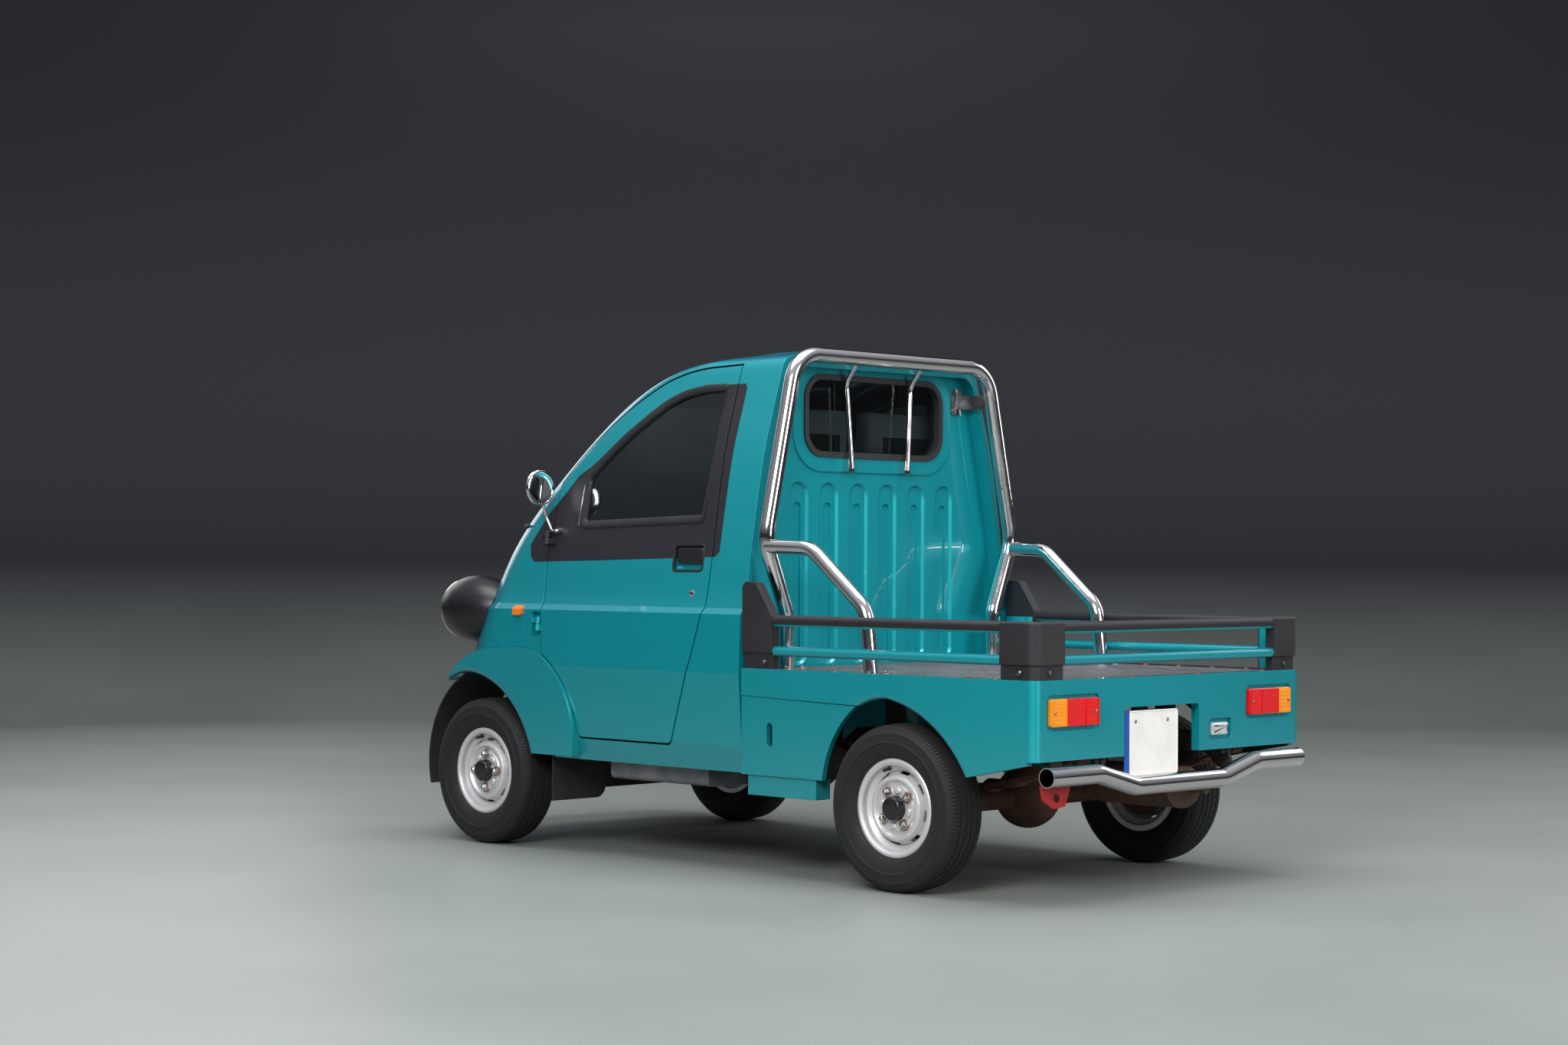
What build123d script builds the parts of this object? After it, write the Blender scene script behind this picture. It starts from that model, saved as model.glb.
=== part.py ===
from build123d import *
import math
import os

os.makedirs("parts", exist_ok=True)

# A small cab-over truck. Millimetres, +X to the vehicle's left, +Y to the rear, +Z up,
# origin on the ground under the middle of the overall length.

# ---------------------------------------------------------------- driving dimensions
WHEELBASE = 1840
FRONT_AXLE_Y = -995
REAR_AXLE_Y = FRONT_AXLE_Y + WHEELBASE
HALF_TRACK = 568
TYRE_RADIUS = 240
TYRE_WIDTH = 145
RIM_HALF_WIDTH = 50
RIM_FLANGE_RADIUS = 140
RIM_SEAT_RADIUS = 127
RIM_WELL_RADIUS = 108
RIM_SHEET = 4
DISC_SHEET = 5
STUB_RADIUS = 14.7
RUNNING_GAP = 0.3       # radial play of a shaft in its bore
SEAT_GAP = 0.4          # play where a piece is seated against a curved one
FRONT_END_Y = -1410     # foremost point, the bumper
REAR_END_Y = 1410       # rearmost point, the rear bumper tube

# The cab's horizontal sections, each a rectangle with a bowed front and rounded front corners.
# Columns: height, corner y, half width, corner radius, bow of the front, share of the wall taken downward.
CAB_UPPER = [
    (797, -1063, 614, 200, 80, 0.0),
    (900, -1005, 596, 185, 77, 0.0),
    (1050, -903, 572, 165, 72, 0.0),
    (1208, -748, 544, 140, 66, 0.0),
    (1355, -594, 507, 125, 61, 0.05),
    (1472, -444, 471, 118, 55, 0.2),
    (1540, -290, 449, 110, 45, 0.5),
    (1572, -120, 410, 100, 32, 0.8),
    (1590, 10, 330, 90, 20, 1.0),
]
CAB_LOWER = [
    (302, -1195, 598, 200, 80, 0.0),
    (380, -1180, 620, 200, 80, 0.0),
    (600, -1128, 636, 200, 80, 0.0),
    (779, -1069, 630, 200, 80, 0.0),
    (797, -1063, 614, 200, 80, 0.0),
]
CAB_BOTTOM_Z = CAB_LOWER[0][0]
CAB_REAR_Y = 225
CAB_WALL = 30
FLOOR_Z = 330           # underside of the cab floor
FLOOR_SHEET = 25
REAR_WALL_Y = 183       # the wall lies behind the rim of the cab's rear opening
REAR_RIM = 22

# Front wheel house, an arc about a point near the axle.
HOUSE_Y = -985
HOUSE_Z = 262
HOUSE_RADIUS = 325
HOUSE_INNER_X = 345
HOUSE_SHEET = 14

# Door: outline seen from the side, as (y, z) corners.
SHUT_GAP = 6
DOOR_TOP_Z = 1546
DOOR_REAR_Y = 57
DOOR_TOP_REAR_Y = 42
DOOR_FRONT_Y = -711
BELT_Z = 965
CREASE_Z = 779
DOOR_BOTTOM_Z = 376
HINGE_LOW = (630, -712, 732)
HINGE_HIGH = (592, -712, 1012)

# Bed
BED_FRONT_Y = 232
BED_HALF = 630
BED_PANEL = 22
BED_TOP_Z = 620
DECK_TOP_Z = 616
DECK_SHEET = 20
TAIL_Y = 1368
TAIL_PANEL = 28
SEAM_Z = 538
ARCH_LOW_Z = 302

# Frame
RAIL_X = 300
RAIL_WIDTH = 50
RAIL_HEIGHT = 60
RAIL_FRONT_Z = 236      # underside of the rails under the cab
RAIL_REAR_Z = 380       # underside of the rails over the rear axle
RAIL_FRONT_Y = -1290
RAIL_REAR_Y = 1335
STEER_X = 455
STRUT_TOP_Z = 570
TURRET_RADIUS = 50

SIDES = [1, -1]           # left, right


def cab_form(rows, inset, ruled):
    """The cab's outside between the table's first and last section, drawn in by inset."""
    with BuildPart() as form:
        for z, corner_y, half_width, radius, bow, down in rows:
            half = half_width - inset
            front = corner_y + inset
            rear = CAB_REAR_Y - inset
            with BuildSketch(Plane.XY.offset(z - inset * down)) as outline:
                with BuildLine():
                    Polyline((half, front), (half, rear), (-half, rear), (-half, front))
                    ThreePointArc((-half, front), (0, front - bow), (half, front))
                make_face()
                fillet(outline.vertices().group_by(Axis.Y)[0], radius - inset)
        loft(ruled=ruled)
    return form.part


def cab_solid(inset):
    """Upper and lower body together."""
    return cab_form(CAB_UPPER, inset, False) + cab_form(CAB_LOWER, inset, True)


def across(face, x_from, x_to):
    """A side-view face (y across, z up) pushed through from x_from to x_to."""
    return extrude(Plane.YZ.offset(x_from) * face, amount=x_to - x_from, mode=Mode.PRIVATE)


def along(face, y_from, y_to):
    """A rear-view face (x across, z up) pushed along from y_from to y_to."""
    return extrude(Plane.XZ.offset(-y_from) * face, amount=-(y_to - y_from), mode=Mode.PRIVATE)


def mirrored(part):
    return part.mirror(Plane.YZ)


def save(part, name):
    part.label = name
    export_step(part, f"parts/{name}.step")


# ---------------------------------------------------------------- side-view outlines
with BuildSketch() as door_outline:
    with BuildLine():
        Polyline((-692, 1190), (DOOR_FRONT_Y, 930), (-690, 638))
        ThreePointArc((-690, 638), (-572, 528), (-524, DOOR_BOTTOM_Z))
        Polyline((-524, DOOR_BOTTOM_Z), (-92, DOOR_BOTTOM_Z), (12, 654), (51, CREASE_Z),
                 (DOOR_REAR_Y, BELT_Z), (DOOR_TOP_REAR_Y, DOOR_TOP_Z), (-60, DOOR_TOP_Z - 3))
        ThreePointArc((-60, DOOR_TOP_Z - 3), (-175, 1532), (-283, 1502))
        ThreePointArc((-283, 1502), (-480, 1387), (-692, 1190))
    make_face()
    fillet(door_outline.vertices().group_by(Axis.Y)[0:2], 18)

with BuildSketch() as door_opening:
    add(door_outline.sketch)
    offset(amount=SHUT_GAP, kind=Kind.INTERSECTION)

with BuildSketch() as side_light:
    with BuildLine():
        ThreePointArc((-250, 1428), (-400, 1332), (-551, 1203))
        Polyline((-551, 1203), (-554, 1066), (-14, 1082), (-5, 1466), (-90, 1466))
        ThreePointArc((-90, 1466), (-175, 1454), (-250, 1428))
    make_face()
    fillet(side_light.vertices().sort_by(Axis.Y)[0:2], 10)

# The wing: a crescent between the wheel arch's lip and the crown line that the door follows.
WING_BOTTOM_Z = 312
with BuildSketch() as wing_outline:
    with BuildLine():
        ThreePointArc((-1185, 532), (-1060, 622), (-893, 648))
        ThreePointArc((-893, 648), (-790, 654), (-697, 634))
        ThreePointArc((-697, 634), (-580, 527), (-531, WING_BOTTOM_Z))
        Line((-531, WING_BOTTOM_Z), (-748, WING_BOTTOM_Z))
        ThreePointArc((-748, WING_BOTTOM_Z), (-850, 470), (-1060, 562))
        ThreePointArc((-1060, 562), (-1125, 556), (-1185, 532))
    make_face()
WING_INNER_X = 606
WING_OUTER_X = 640

with BuildSketch() as house_outline:
    with Locations((HOUSE_Y, HOUSE_Z)):
        Circle(HOUSE_RADIUS)
    with Locations((HOUSE_Y, HOUSE_Z - HOUSE_RADIUS)):
        Rectangle(2 * HOUSE_RADIUS, 2 * HOUSE_RADIUS)

house_skin = offset(house_outline.sketch, HOUSE_SHEET)
wing_seat = offset(wing_outline.sketch, SEAT_GAP)

# ---------------------------------------------------------------- cab
outside = cab_solid(0)
inside = cab_solid(CAB_WALL)
around = cab_solid(-SEAT_GAP)

SCREEN_LOW_Z = 968
SCREEN_HIGH_Z = 1478
with BuildSketch() as screen_outline:
    with BuildLine():
        Polyline((520, SCREEN_LOW_Z), (415, SCREEN_HIGH_Z), (-415, SCREEN_HIGH_Z), (-520, SCREEN_LOW_Z),
                 close=True)
    make_face()
    fillet(screen_outline.vertices(), 70)
SCREEN_SEAL = 18

BACKLIGHT_HALF = 317
BACKLIGHT_LOW_Z = 1270
BACKLIGHT_HIGH_Z = 1520
BACKLIGHT_RADIUS = 75
SEAL_LIP = 5
SEAL_WIDTH = 13


def backlight(margin):
    with BuildSketch() as light:
        with Locations((0, (BACKLIGHT_LOW_Z + BACKLIGHT_HIGH_Z) / 2)):
            RectangleRounded(2 * (BACKLIGHT_HALF + margin), BACKLIGHT_HIGH_Z - BACKLIGHT_LOW_Z + 2 * margin,
                             BACKLIGHT_RADIUS + margin)
    return light.sketch


# Half-widths of the recessed rear wall follow the cab's sides.
RECESS = [(600, 636), (779, 630), (797, 614), (1050, 572), (1355, 507), (1540, 449)]
with BuildSketch() as recess_outline:
    with BuildLine():
        right = [(half - REAR_RIM, z) for z, half in RECESS]
        left = [(REAR_RIM - half, z) for z, half in reversed(RECESS)]
        Polyline(*right, *left, close=True)
    make_face()
    fillet(recess_outline.vertices().group_by(Axis.Y)[-1], 60)

RIB_COUNT = 6
RIB_PITCH = 135
RIB_WIDTH = 85
RIB_DEPTH = 8
RIB_SLOPE = 40
RIB_LOW_Z = 620
RIB_HIGH_Z = 1186
GROOVE_WIDTH = 34
GROOVE_DEPTH = 6
GROOVE_HIGH_Z = 1131
SURROUND_DEPTH = 5
SURROUND_MARGIN = 50

TUNNEL_WIDTH = 110
TUNNEL_LENGTH = 45
SEAT_BOX_FRONT_Y = -640
SEAT_BOX_TOP_Z = 600
SEAT_BOX_SHEET = 15

# Hinge: two barrels on the swing axis, the upper one fixed to the body, the lower one to the door.
HINGE_BARREL = 9
HINGE_LENGTH = 44
HINGE_PIN = 4
HINGE_LEAF = 22          # leaf's depth from the swing axis into the bodywork
LOW_MOVING_LEAF = 12
HINGE_REACH = 34
HINGE_POCKET_X = 612
HINGE_POCKET_Y = (-742, -698)
HINGE_POCKET_HEIGHT = 78
hinge_axis = Vector(HINGE_HIGH) - Vector(HINGE_LOW)


def hinge_half(centre, fixed, leaf_depth):
    """One half of a hinge on the left side; its leaf points forward if fixed, else back to the door."""
    with BuildPart() as half:
        start = 1 if fixed else -1
        with BuildSketch(Plane(origin=centre, z_dir=hinge_axis).offset(start * SEAT_GAP)):
            Circle(HINGE_BARREL)
            if fixed:
                Circle(HINGE_PIN + RUNNING_GAP, mode=Mode.SUBTRACT)
        extrude(amount=start * HINGE_LENGTH / 2)
        if not fixed:
            with BuildSketch(Plane(origin=centre, z_dir=hinge_axis).offset(-HINGE_LENGTH / 4)):
                Circle(HINGE_PIN)
            extrude(amount=HINGE_LENGTH / 2)
        leaf_y = -HINGE_REACH if fixed else HINGE_REACH
        with BuildSketch(Plane(origin=centre, x_dir=(0, 1, 0), z_dir=hinge_axis).offset(start * (SEAT_GAP + 2))):
            with Locations((leaf_y / 2 - start * 3, leaf_depth / 2)):
                Rectangle(HINGE_REACH - 6, leaf_depth)
        extrude(amount=start * (HINGE_LENGTH / 2 - 4))
    return half.part


fixed_halves = hinge_half(HINGE_LOW, True, HINGE_LEAF) + hinge_half(HINGE_HIGH, True, HINGE_LEAF)
moving_halves = hinge_half(HINGE_LOW, False, LOW_MOVING_LEAF) + hinge_half(HINGE_HIGH, False, HINGE_LEAF)

with BuildPart() as cab_blank:
    add(outside)
    # cabin, over the floor
    with BuildPart(mode=Mode.PRIVATE) as cabin:
        add(inside)
        with Locations((0, 0, FLOOR_Z + FLOOR_SHEET - 500)):
            Box(2000, 4000, 1000, mode=Mode.SUBTRACT)
        with Locations((0, (SEAT_BOX_FRONT_Y + CAB_REAR_Y) / 2, (FLOOR_Z + SEAT_BOX_TOP_Z) / 2)):
            Box(1400, CAB_REAR_Y - SEAT_BOX_FRONT_Y, SEAT_BOX_TOP_Z - FLOOR_Z, mode=Mode.SUBTRACT)
        for side in SIDES:
            add(across(house_skin, side * (HOUSE_INNER_X - HOUSE_SHEET), side * 700), mode=Mode.SUBTRACT)
        with Locations((0, REAR_WALL_Y - CAB_WALL + 500, 900)):
            Box(2000, 1000, 2000, mode=Mode.SUBTRACT)
    add(cabin.part, mode=Mode.SUBTRACT)
    # open underneath, inside the sills
    with BuildPart(mode=Mode.PRIVATE) as under:
        add(inside)
        with Locations((0, 0, FLOOR_Z + 1000)):
            Box(2000, 4000, 2000, mode=Mode.SUBTRACT)
    add(under.part, mode=Mode.SUBTRACT)
    with Locations((0, (SEAT_BOX_FRONT_Y + REAR_WALL_Y - CAB_WALL) / 2, (SEAT_BOX_TOP_Z - SEAT_BOX_SHEET) / 2)):
        Box(2 * (HOUSE_INNER_X - HOUSE_SHEET - 2), REAR_WALL_Y - CAB_WALL - SEAT_BOX_FRONT_Y - 2 * SEAT_BOX_SHEET,
            SEAT_BOX_TOP_Z - SEAT_BOX_SHEET, mode=Mode.SUBTRACT)
    for side in SIDES:
        add(across(house_outline.sketch, side * HOUSE_INNER_X, side * 700), mode=Mode.SUBTRACT)
        add(across(door_opening.sketch, side * 200, side * 700), mode=Mode.SUBTRACT)
        add(across(wing_seat, side * WING_INNER_X, side * 700), mode=Mode.SUBTRACT)
    # tunnel for the propshaft through the rear sill
    with Locations((0, CAB_REAR_Y - TUNNEL_LENGTH / 2, FLOOR_Z - TUNNEL_WIDTH / 2)):
        Box(TUNNEL_WIDTH, TUNNEL_LENGTH, TUNNEL_WIDTH, mode=Mode.SUBTRACT)
    add(along(recess_outline.sketch, REAR_WALL_Y, CAB_REAR_Y + 10), mode=Mode.SUBTRACT)

# The floor pressing and the rear wall are pieces of their own inside the shell's walls.
REAR_WALL_FRONT_Y = REAR_WALL_Y - CAB_WALL
FLOOR_TOP_Z = 612         # over the seat box and the wheel houses


def inner_zone(gap):
    """What lies inside the walls, drawn in by gap, split into the floor's zone and the rear wall's."""
    within = cab_solid(CAB_WALL + gap)
    front_half = Pos(0, REAR_WALL_FRONT_Y - gap - 1000, FLOOR_TOP_Z - 500) * Box(2000, 2000, 1000)
    rear_half = Pos(0, REAR_WALL_FRONT_Y + 500, 1000) * Box(2000, 1000, 2000)
    return within & front_half, within & rear_half


floor_zone, rear_zone = inner_zone(0)
floor_seat, rear_seat = inner_zone(SEAT_GAP)
with BuildPart() as cab_shell:
    add(cab_blank.part)
    add(floor_zone, mode=Mode.SUBTRACT)
    add(rear_zone, mode=Mode.SUBTRACT)
    # hinge pockets and the hinges' fixed halves
    for side in SIDES:
        with Locations((side * (HINGE_POCKET_X + 50), (HINGE_POCKET_Y[0] + HINGE_POCKET_Y[1]) / 2, HINGE_LOW[2])):
            Box(100, HINGE_POCKET_Y[1] - HINGE_POCKET_Y[0], HINGE_POCKET_HEIGHT, mode=Mode.SUBTRACT)
    add(fixed_halves)
    add(mirrored(fixed_halves))
    add(along(screen_outline.sketch, -1300, -250), mode=Mode.SUBTRACT)
save(cab_shell.part, "cab_shell")

with BuildPart() as cab_floor:
    add(cab_blank.part)
    add(floor_seat, mode=Mode.INTERSECT)
    # strut turrets in the wheel houses
    with BuildSketch(Plane.XY.offset(STRUT_TOP_Z + RUNNING_GAP)):
        with Locations((STEER_X, FRONT_AXLE_Y), (-STEER_X, FRONT_AXLE_Y)):
            Circle(TURRET_RADIUS)
    extrude(amount=HOUSE_Z + HOUSE_RADIUS + 8 - STRUT_TOP_Z)
save(cab_floor.part, "cab_floor")

with BuildPart() as rear_wall:
    add(cab_blank.part)
    add(rear_seat, mode=Mode.INTERSECT)
    with BuildSketch(Plane.XZ.offset(-REAR_WALL_Y)):
        with Locations((0, (RIB_LOW_Z + RIB_HIGH_Z) / 2)), GridLocations(RIB_PITCH, 1, RIB_COUNT, 1):
            RectangleRounded(RIB_WIDTH, RIB_HIGH_Z - RIB_LOW_Z, RIB_WIDTH / 2 - 2)
    extrude(amount=RIB_DEPTH, taper=RIB_SLOPE, mode=Mode.SUBTRACT)
    # a narrower groove down the middle of each pressed rib
    with BuildSketch(Plane.XZ.offset(-REAR_WALL_Y + RIB_DEPTH)):
        with Locations((0, (RIB_LOW_Z + GROOVE_HIGH_Z) / 2)), GridLocations(RIB_PITCH, 1, RIB_COUNT, 1):
            RectangleRounded(GROOVE_WIDTH, GROOVE_HIGH_Z - RIB_LOW_Z - 2 * RIB_DEPTH, GROOVE_WIDTH / 2 - 2)
    extrude(amount=GROOVE_DEPTH, mode=Mode.SUBTRACT)
    surround = backlight(SURROUND_MARGIN) & recess_outline.sketch
    add(along(surround, REAR_WALL_Y, REAR_WALL_Y + SURROUND_DEPTH))
    add(along(backlight(0), 0, CAB_REAR_Y), mode=Mode.SUBTRACT)
save(rear_wall.part, "rear_wall")

# Skins between two depths under the cab's outside, used for glass and seals.
glass_skin = cab_form(CAB_UPPER, 9, False) - cab_form(CAB_UPPER, 14, False)
seal_skin = cab_form(CAB_UPPER, -5, False) - cab_form(CAB_UPPER, 20, False)

screen_inner = offset(screen_outline.sketch, -SCREEN_SEAL)
with BuildPart() as windscreen:
    add(glass_skin)
    add(along(offset(screen_inner, -SEAT_GAP), -1300, -250), mode=Mode.INTERSECT)
save(windscreen.part, "windscreen")

with BuildPart() as rear_window:
    add(along(backlight(-SEAL_WIDTH - SEAT_GAP), REAR_WALL_Y - 14, REAR_WALL_Y - 9))
save(rear_window.part, "rear_window")

with BuildPart() as window_seals:
    add(seal_skin)
    add(along(offset(screen_outline.sketch, -SEAT_GAP), -1300, -250), mode=Mode.INTERSECT)
    add(along(screen_inner, -1300, -250), mode=Mode.SUBTRACT)
    add(along(backlight(-SEAT_GAP), REAR_WALL_Y - CAB_WALL, REAR_WALL_Y + SURROUND_DEPTH + 6))
    add(along(backlight(SEAL_LIP), REAR_WALL_Y + SURROUND_DEPTH, REAR_WALL_Y + SURROUND_DEPTH + 6))
    add(along(backlight(-SEAL_WIDTH), 0, CAB_REAR_Y), mode=Mode.SUBTRACT)
save(window_seals.part, "window_seals")

# ---------------------------------------------------------------- doors
SIDE_SEAL = 22
FRAME_REAR_Y = 4
with BuildSketch() as side_frame_outline:
    add(offset(side_light.sketch, SIDE_SEAL))
    with Locations((FRAME_REAR_Y + 500, 1300)):
        Rectangle(1000, 1000, mode=Mode.SUBTRACT)
side_frame = side_frame_outline.sketch
DOOR_TOP_SLOPE = 0.25     # the door's top edge falls away inward and so clears the roof as it swings
DOOR_TOP_OUTER_X = 436
HANDLE_Y = (-108, 20)
HANDLE_Z = (911, 986)
HANDLE_FLOOR_X = 569
with BuildPart() as door_left:
    add(outside)
    add(inside, mode=Mode.SUBTRACT)
    add(across(door_outline.sketch, 200, 700), mode=Mode.INTERSECT)
    add(across(side_frame, 200, 700), mode=Mode.SUBTRACT)
    add(moving_halves)
    with BuildSketch(Plane.YZ.offset(HANDLE_FLOOR_X)):
        with Locations((sum(HANDLE_Y) / 2, sum(HANDLE_Z) / 2)):
            RectangleRounded(HANDLE_Y[1] - HANDLE_Y[0], HANDLE_Z[1] - HANDLE_Z[0], 12)
    extrude(amount=100, mode=Mode.SUBTRACT)
    with BuildSketch() as top_wedge:
        Polygon((300, DOOR_TOP_Z - DOOR_TOP_SLOPE * (DOOR_TOP_OUTER_X - 300)), (DOOR_TOP_OUTER_X, DOOR_TOP_Z),
                (DOOR_TOP_OUTER_X, DOOR_TOP_Z + 20), (300, DOOR_TOP_Z + 20), align=None)
    add(along(top_wedge.sketch, -400, 100), mode=Mode.SUBTRACT)
door_right = mirrored(door_left.part)
save(door_left.part, "door_left")
save(door_right, "door_right")

with BuildPart() as door_glass_left:
    add(glass_skin)
    add(across(offset(side_frame, -SEAT_GAP), 200, 700), mode=Mode.INTERSECT)
save(door_glass_left.part, "door_glass_left")
save(mirrored(door_glass_left.part), "door_glass_right")

# Mirror: round head on a thin stalk from a base by the upper hinge.
MIRROR_BASE = (590, -666, 1035)
MIRROR_HEAD = (646, -692, 1173)
MIRROR_RADIUS = 58
MIRROR_STALK = 5
MIRROR_BOSS = 11
with BuildPart() as door_mirror_left:
    with BuildLine() as stalk:
        FilletPolyline(MIRROR_BASE, (612, MIRROR_BASE[1], 1035), (617, -688, 1078), MIRROR_HEAD, radius=[9, 40])
    with BuildSketch(Plane(origin=stalk.line @ 0, z_dir=stalk.line % 0)):
        Circle(MIRROR_STALK)
    sweep()
    with BuildSketch(Plane.YZ.offset(550)):
        with Locations(MIRROR_BASE[1:]):
            Circle(MIRROR_BOSS)
    extrude(amount=MIRROR_BASE[0] + 6 - 550)
    add(around, mode=Mode.SUBTRACT)
    with BuildSketch(Plane(origin=MIRROR_HEAD)):
        with BuildLine():
            Polyline((8, -22), (0, -22), (0, 9), (MIRROR_RADIUS - 3, 9), (MIRROR_RADIUS, 4))
            ThreePointArc((MIRROR_RADIUS, 4), (38, -14), (8, -22))
        make_face()
    revolve(axis=Axis(MIRROR_HEAD, (0, 1, 0)))
save(door_mirror_left.part, "door_mirror_left")
save(mirrored(door_mirror_left.part), "door_mirror_right")

# ---------------------------------------------------------------- front wings, liners, lamps, bumper
WING_SHELL_LOW_Z = 520
WING_HEEL_Y = -740
WING_LIP_TOP_Z = 575
LIP_RADIUS = 24
with BuildPart() as wing:
    add(across(wing_outline.sketch, WING_INNER_X, WING_OUTER_X))
    with BuildPart(mode=Mode.PRIVATE) as wing_root:
        add(across(wing_outline.sketch, 440, WING_INNER_X))
        with Locations((0, 0, WING_SHELL_LOW_Z - 500)):
            Box(2000, 4000, 1000, mode=Mode.SUBTRACT)
        add(across(house_outline.sketch, 400, WING_INNER_X), mode=Mode.SUBTRACT)
    add(wing_root.part)
    with BuildPart(mode=Mode.PRIVATE) as body_clearance:
        add(around)
        add(across(wing_seat, WING_INNER_X, 700), mode=Mode.SUBTRACT)
    add(body_clearance.part, mode=Mode.SUBTRACT)
    # rolled lip round the arch
    lip = [edge for edge in wing.edges() if (edge @ 0.5).X > WING_OUTER_X - 1
           and (edge @ 0.5).Y < WING_HEEL_Y and (edge @ 0.5).Z < WING_LIP_TOP_Z]
    fillet(lip, LIP_RADIUS)
front_wings = wing.part + mirrored(wing.part)
save(front_wings, "front_wings")

LINER_SHEET = 5
LINER_FRONT_Z = 180
LINER_REAR_Z = 305
with BuildSketch() as liner_band:
    with Locations((HOUSE_Y, HOUSE_Z)):
        Circle(HOUSE_RADIUS - SEAT_GAP)
        Circle(HOUSE_RADIUS - SEAT_GAP - LINER_SHEET, mode=Mode.SUBTRACT)
    with Locations((HOUSE_Y, HOUSE_Z - HOUSE_RADIUS)):
        Rectangle(2 * HOUSE_RADIUS, 2 * (HOUSE_RADIUS + LINER_FRONT_Z - HOUSE_Z), mode=Mode.SUBTRACT)
    with Locations((HOUSE_Y + HOUSE_RADIUS, LINER_REAR_Z - 100)):
        Rectangle(2 * HOUSE_RADIUS, 200, mode=Mode.SUBTRACT)
with BuildPart() as liner_sheet:
    add(across(liner_band.sketch, HOUSE_INNER_X + 1, WING_INNER_X - SEAT_GAP))
    with BuildSketch(Plane.XY.offset(400)):
        with Locations((STEER_X, FRONT_AXLE_Y)):
            Circle(TURRET_RADIUS + RUNNING_GAP)
    extrude(amount=300, mode=Mode.SUBTRACT)
liner = liner_sheet.part
wheel_liners = liner + mirrored(liner)
save(wheel_liners, "wheel_liners")

FLAP_Y = -665.5
FLAP_SHEET = 5
FLAP_X = (376, 604)
FLAP_CORNER = 40
FLAP_Z = (160, LINER_REAR_Z - RUNNING_GAP)
with BuildPart() as mud_flaps:
    for side in SIDES:
        with Locations((side * sum(FLAP_X) / 2, FLAP_Y, sum(FLAP_Z) / 2)):
            Box(FLAP_X[1] - FLAP_X[0], FLAP_SHEET, FLAP_Z[1] - FLAP_Z[0])
    low_corners = mud_flaps.edges().filter_by(Axis.Y).group_by(Axis.Z)[0]
    fillet([edge for edge in low_corners if abs((edge @ 0).X) < FLAP_X[0] + 1], FLAP_CORNER)
save(mud_flaps.part, "mud_flaps")

LAMP_X = 548
LAMP_Z = 773
LAMP_FRONT_Y = -1192
LAMP_RADIUS = 98
BOWL_RADIUS = 113
BOWL_REAR_Y = -975
BOWL_MIDDLE_Y = -1095
BOWL_END_RADIUS = 62
BOWL_SHEET = 6
with BuildPart() as bowl:
    with BuildSketch(Plane.XY.offset(LAMP_Z)):
        with BuildLine():
            Polyline((LAMP_X, BOWL_REAR_Y), (LAMP_X + BOWL_END_RADIUS, BOWL_REAR_Y))
            ThreePointArc((LAMP_X + BOWL_END_RADIUS, BOWL_REAR_Y), (LAMP_X + BOWL_RADIUS, BOWL_MIDDLE_Y),
                          (LAMP_X + LAMP_RADIUS, LAMP_FRONT_Y))
            Polyline((LAMP_X + LAMP_RADIUS, LAMP_FRONT_Y), (LAMP_X + LAMP_RADIUS - BOWL_SHEET, LAMP_FRONT_Y),
                     (LAMP_X + LAMP_RADIUS - BOWL_SHEET, LAMP_FRONT_Y + 30), (LAMP_X, LAMP_FRONT_Y + 75),
                     (LAMP_X, BOWL_REAR_Y))
        make_face()
    revolve(axis=Axis((LAMP_X, 0, LAMP_Z), (0, 1, 0)))
    add(around, mode=Mode.SUBTRACT)
headlamp_bowls = bowl.part + mirrored(bowl.part)
save(headlamp_bowls, "headlamp_bowls")

LENS_RADIUS = LAMP_RADIUS - BOWL_SHEET - SEAT_GAP
LENS_FRONT_Y = LAMP_FRONT_Y - 14
with BuildPart() as lens:
    with BuildSketch(Plane.XY.offset(LAMP_Z)):
        with BuildLine():
            Polyline((LAMP_X, LENS_FRONT_Y), (LAMP_X, LAMP_FRONT_Y + 6), (LAMP_X + LENS_RADIUS, LAMP_FRONT_Y + 6),
                     (LAMP_X + LENS_RADIUS, LAMP_FRONT_Y + 2), (LAMP_X + 72, LAMP_FRONT_Y - 6),
                     (LAMP_X + 40, LENS_FRONT_Y + 3), close=True)
        make_face()
    revolve(axis=Axis((LAMP_X, 0, LAMP_Z), (0, 1, 0)))
headlamp_lenses = lens.part + mirrored(lens.part)
save(headlamp_lenses, "headlamp_lenses")

# Amber lamps: a small side marker behind each headlamp and an indicator each side of the nose.
MARKER_Y = -810
MARKER_Z = 775
MARKER_SIZE = (44, 32)
NOSE_LAMP_X = 285
NOSE_LAMP_Z = 655
NOSE_LAMP_SIZE = (92, 44)
LAMP_RISE = 9
lamp_skin = cab_form(CAB_LOWER, -LAMP_RISE, True) - cab_form(CAB_LOWER, -SEAT_GAP, True)
with BuildPart() as indicator_lamps:
    with BuildPart(mode=Mode.PRIVATE) as lamp_prisms:
        with BuildSketch(Plane.YZ.offset(500)):
            with Locations((MARKER_Y, MARKER_Z)):
                RectangleRounded(*MARKER_SIZE, 8)
        extrude(amount=300)
        with BuildSketch(Plane.XZ.offset(1000)):
            with Locations((NOSE_LAMP_X, NOSE_LAMP_Z)):
                RectangleRounded(*NOSE_LAMP_SIZE, 14)
        extrude(amount=400)
    add(lamp_prisms.part)
    add(mirrored(lamp_prisms.part))
    add(lamp_skin, mode=Mode.INTERSECT)
save(indicator_lamps.part, "indicator_lamps")

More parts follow.
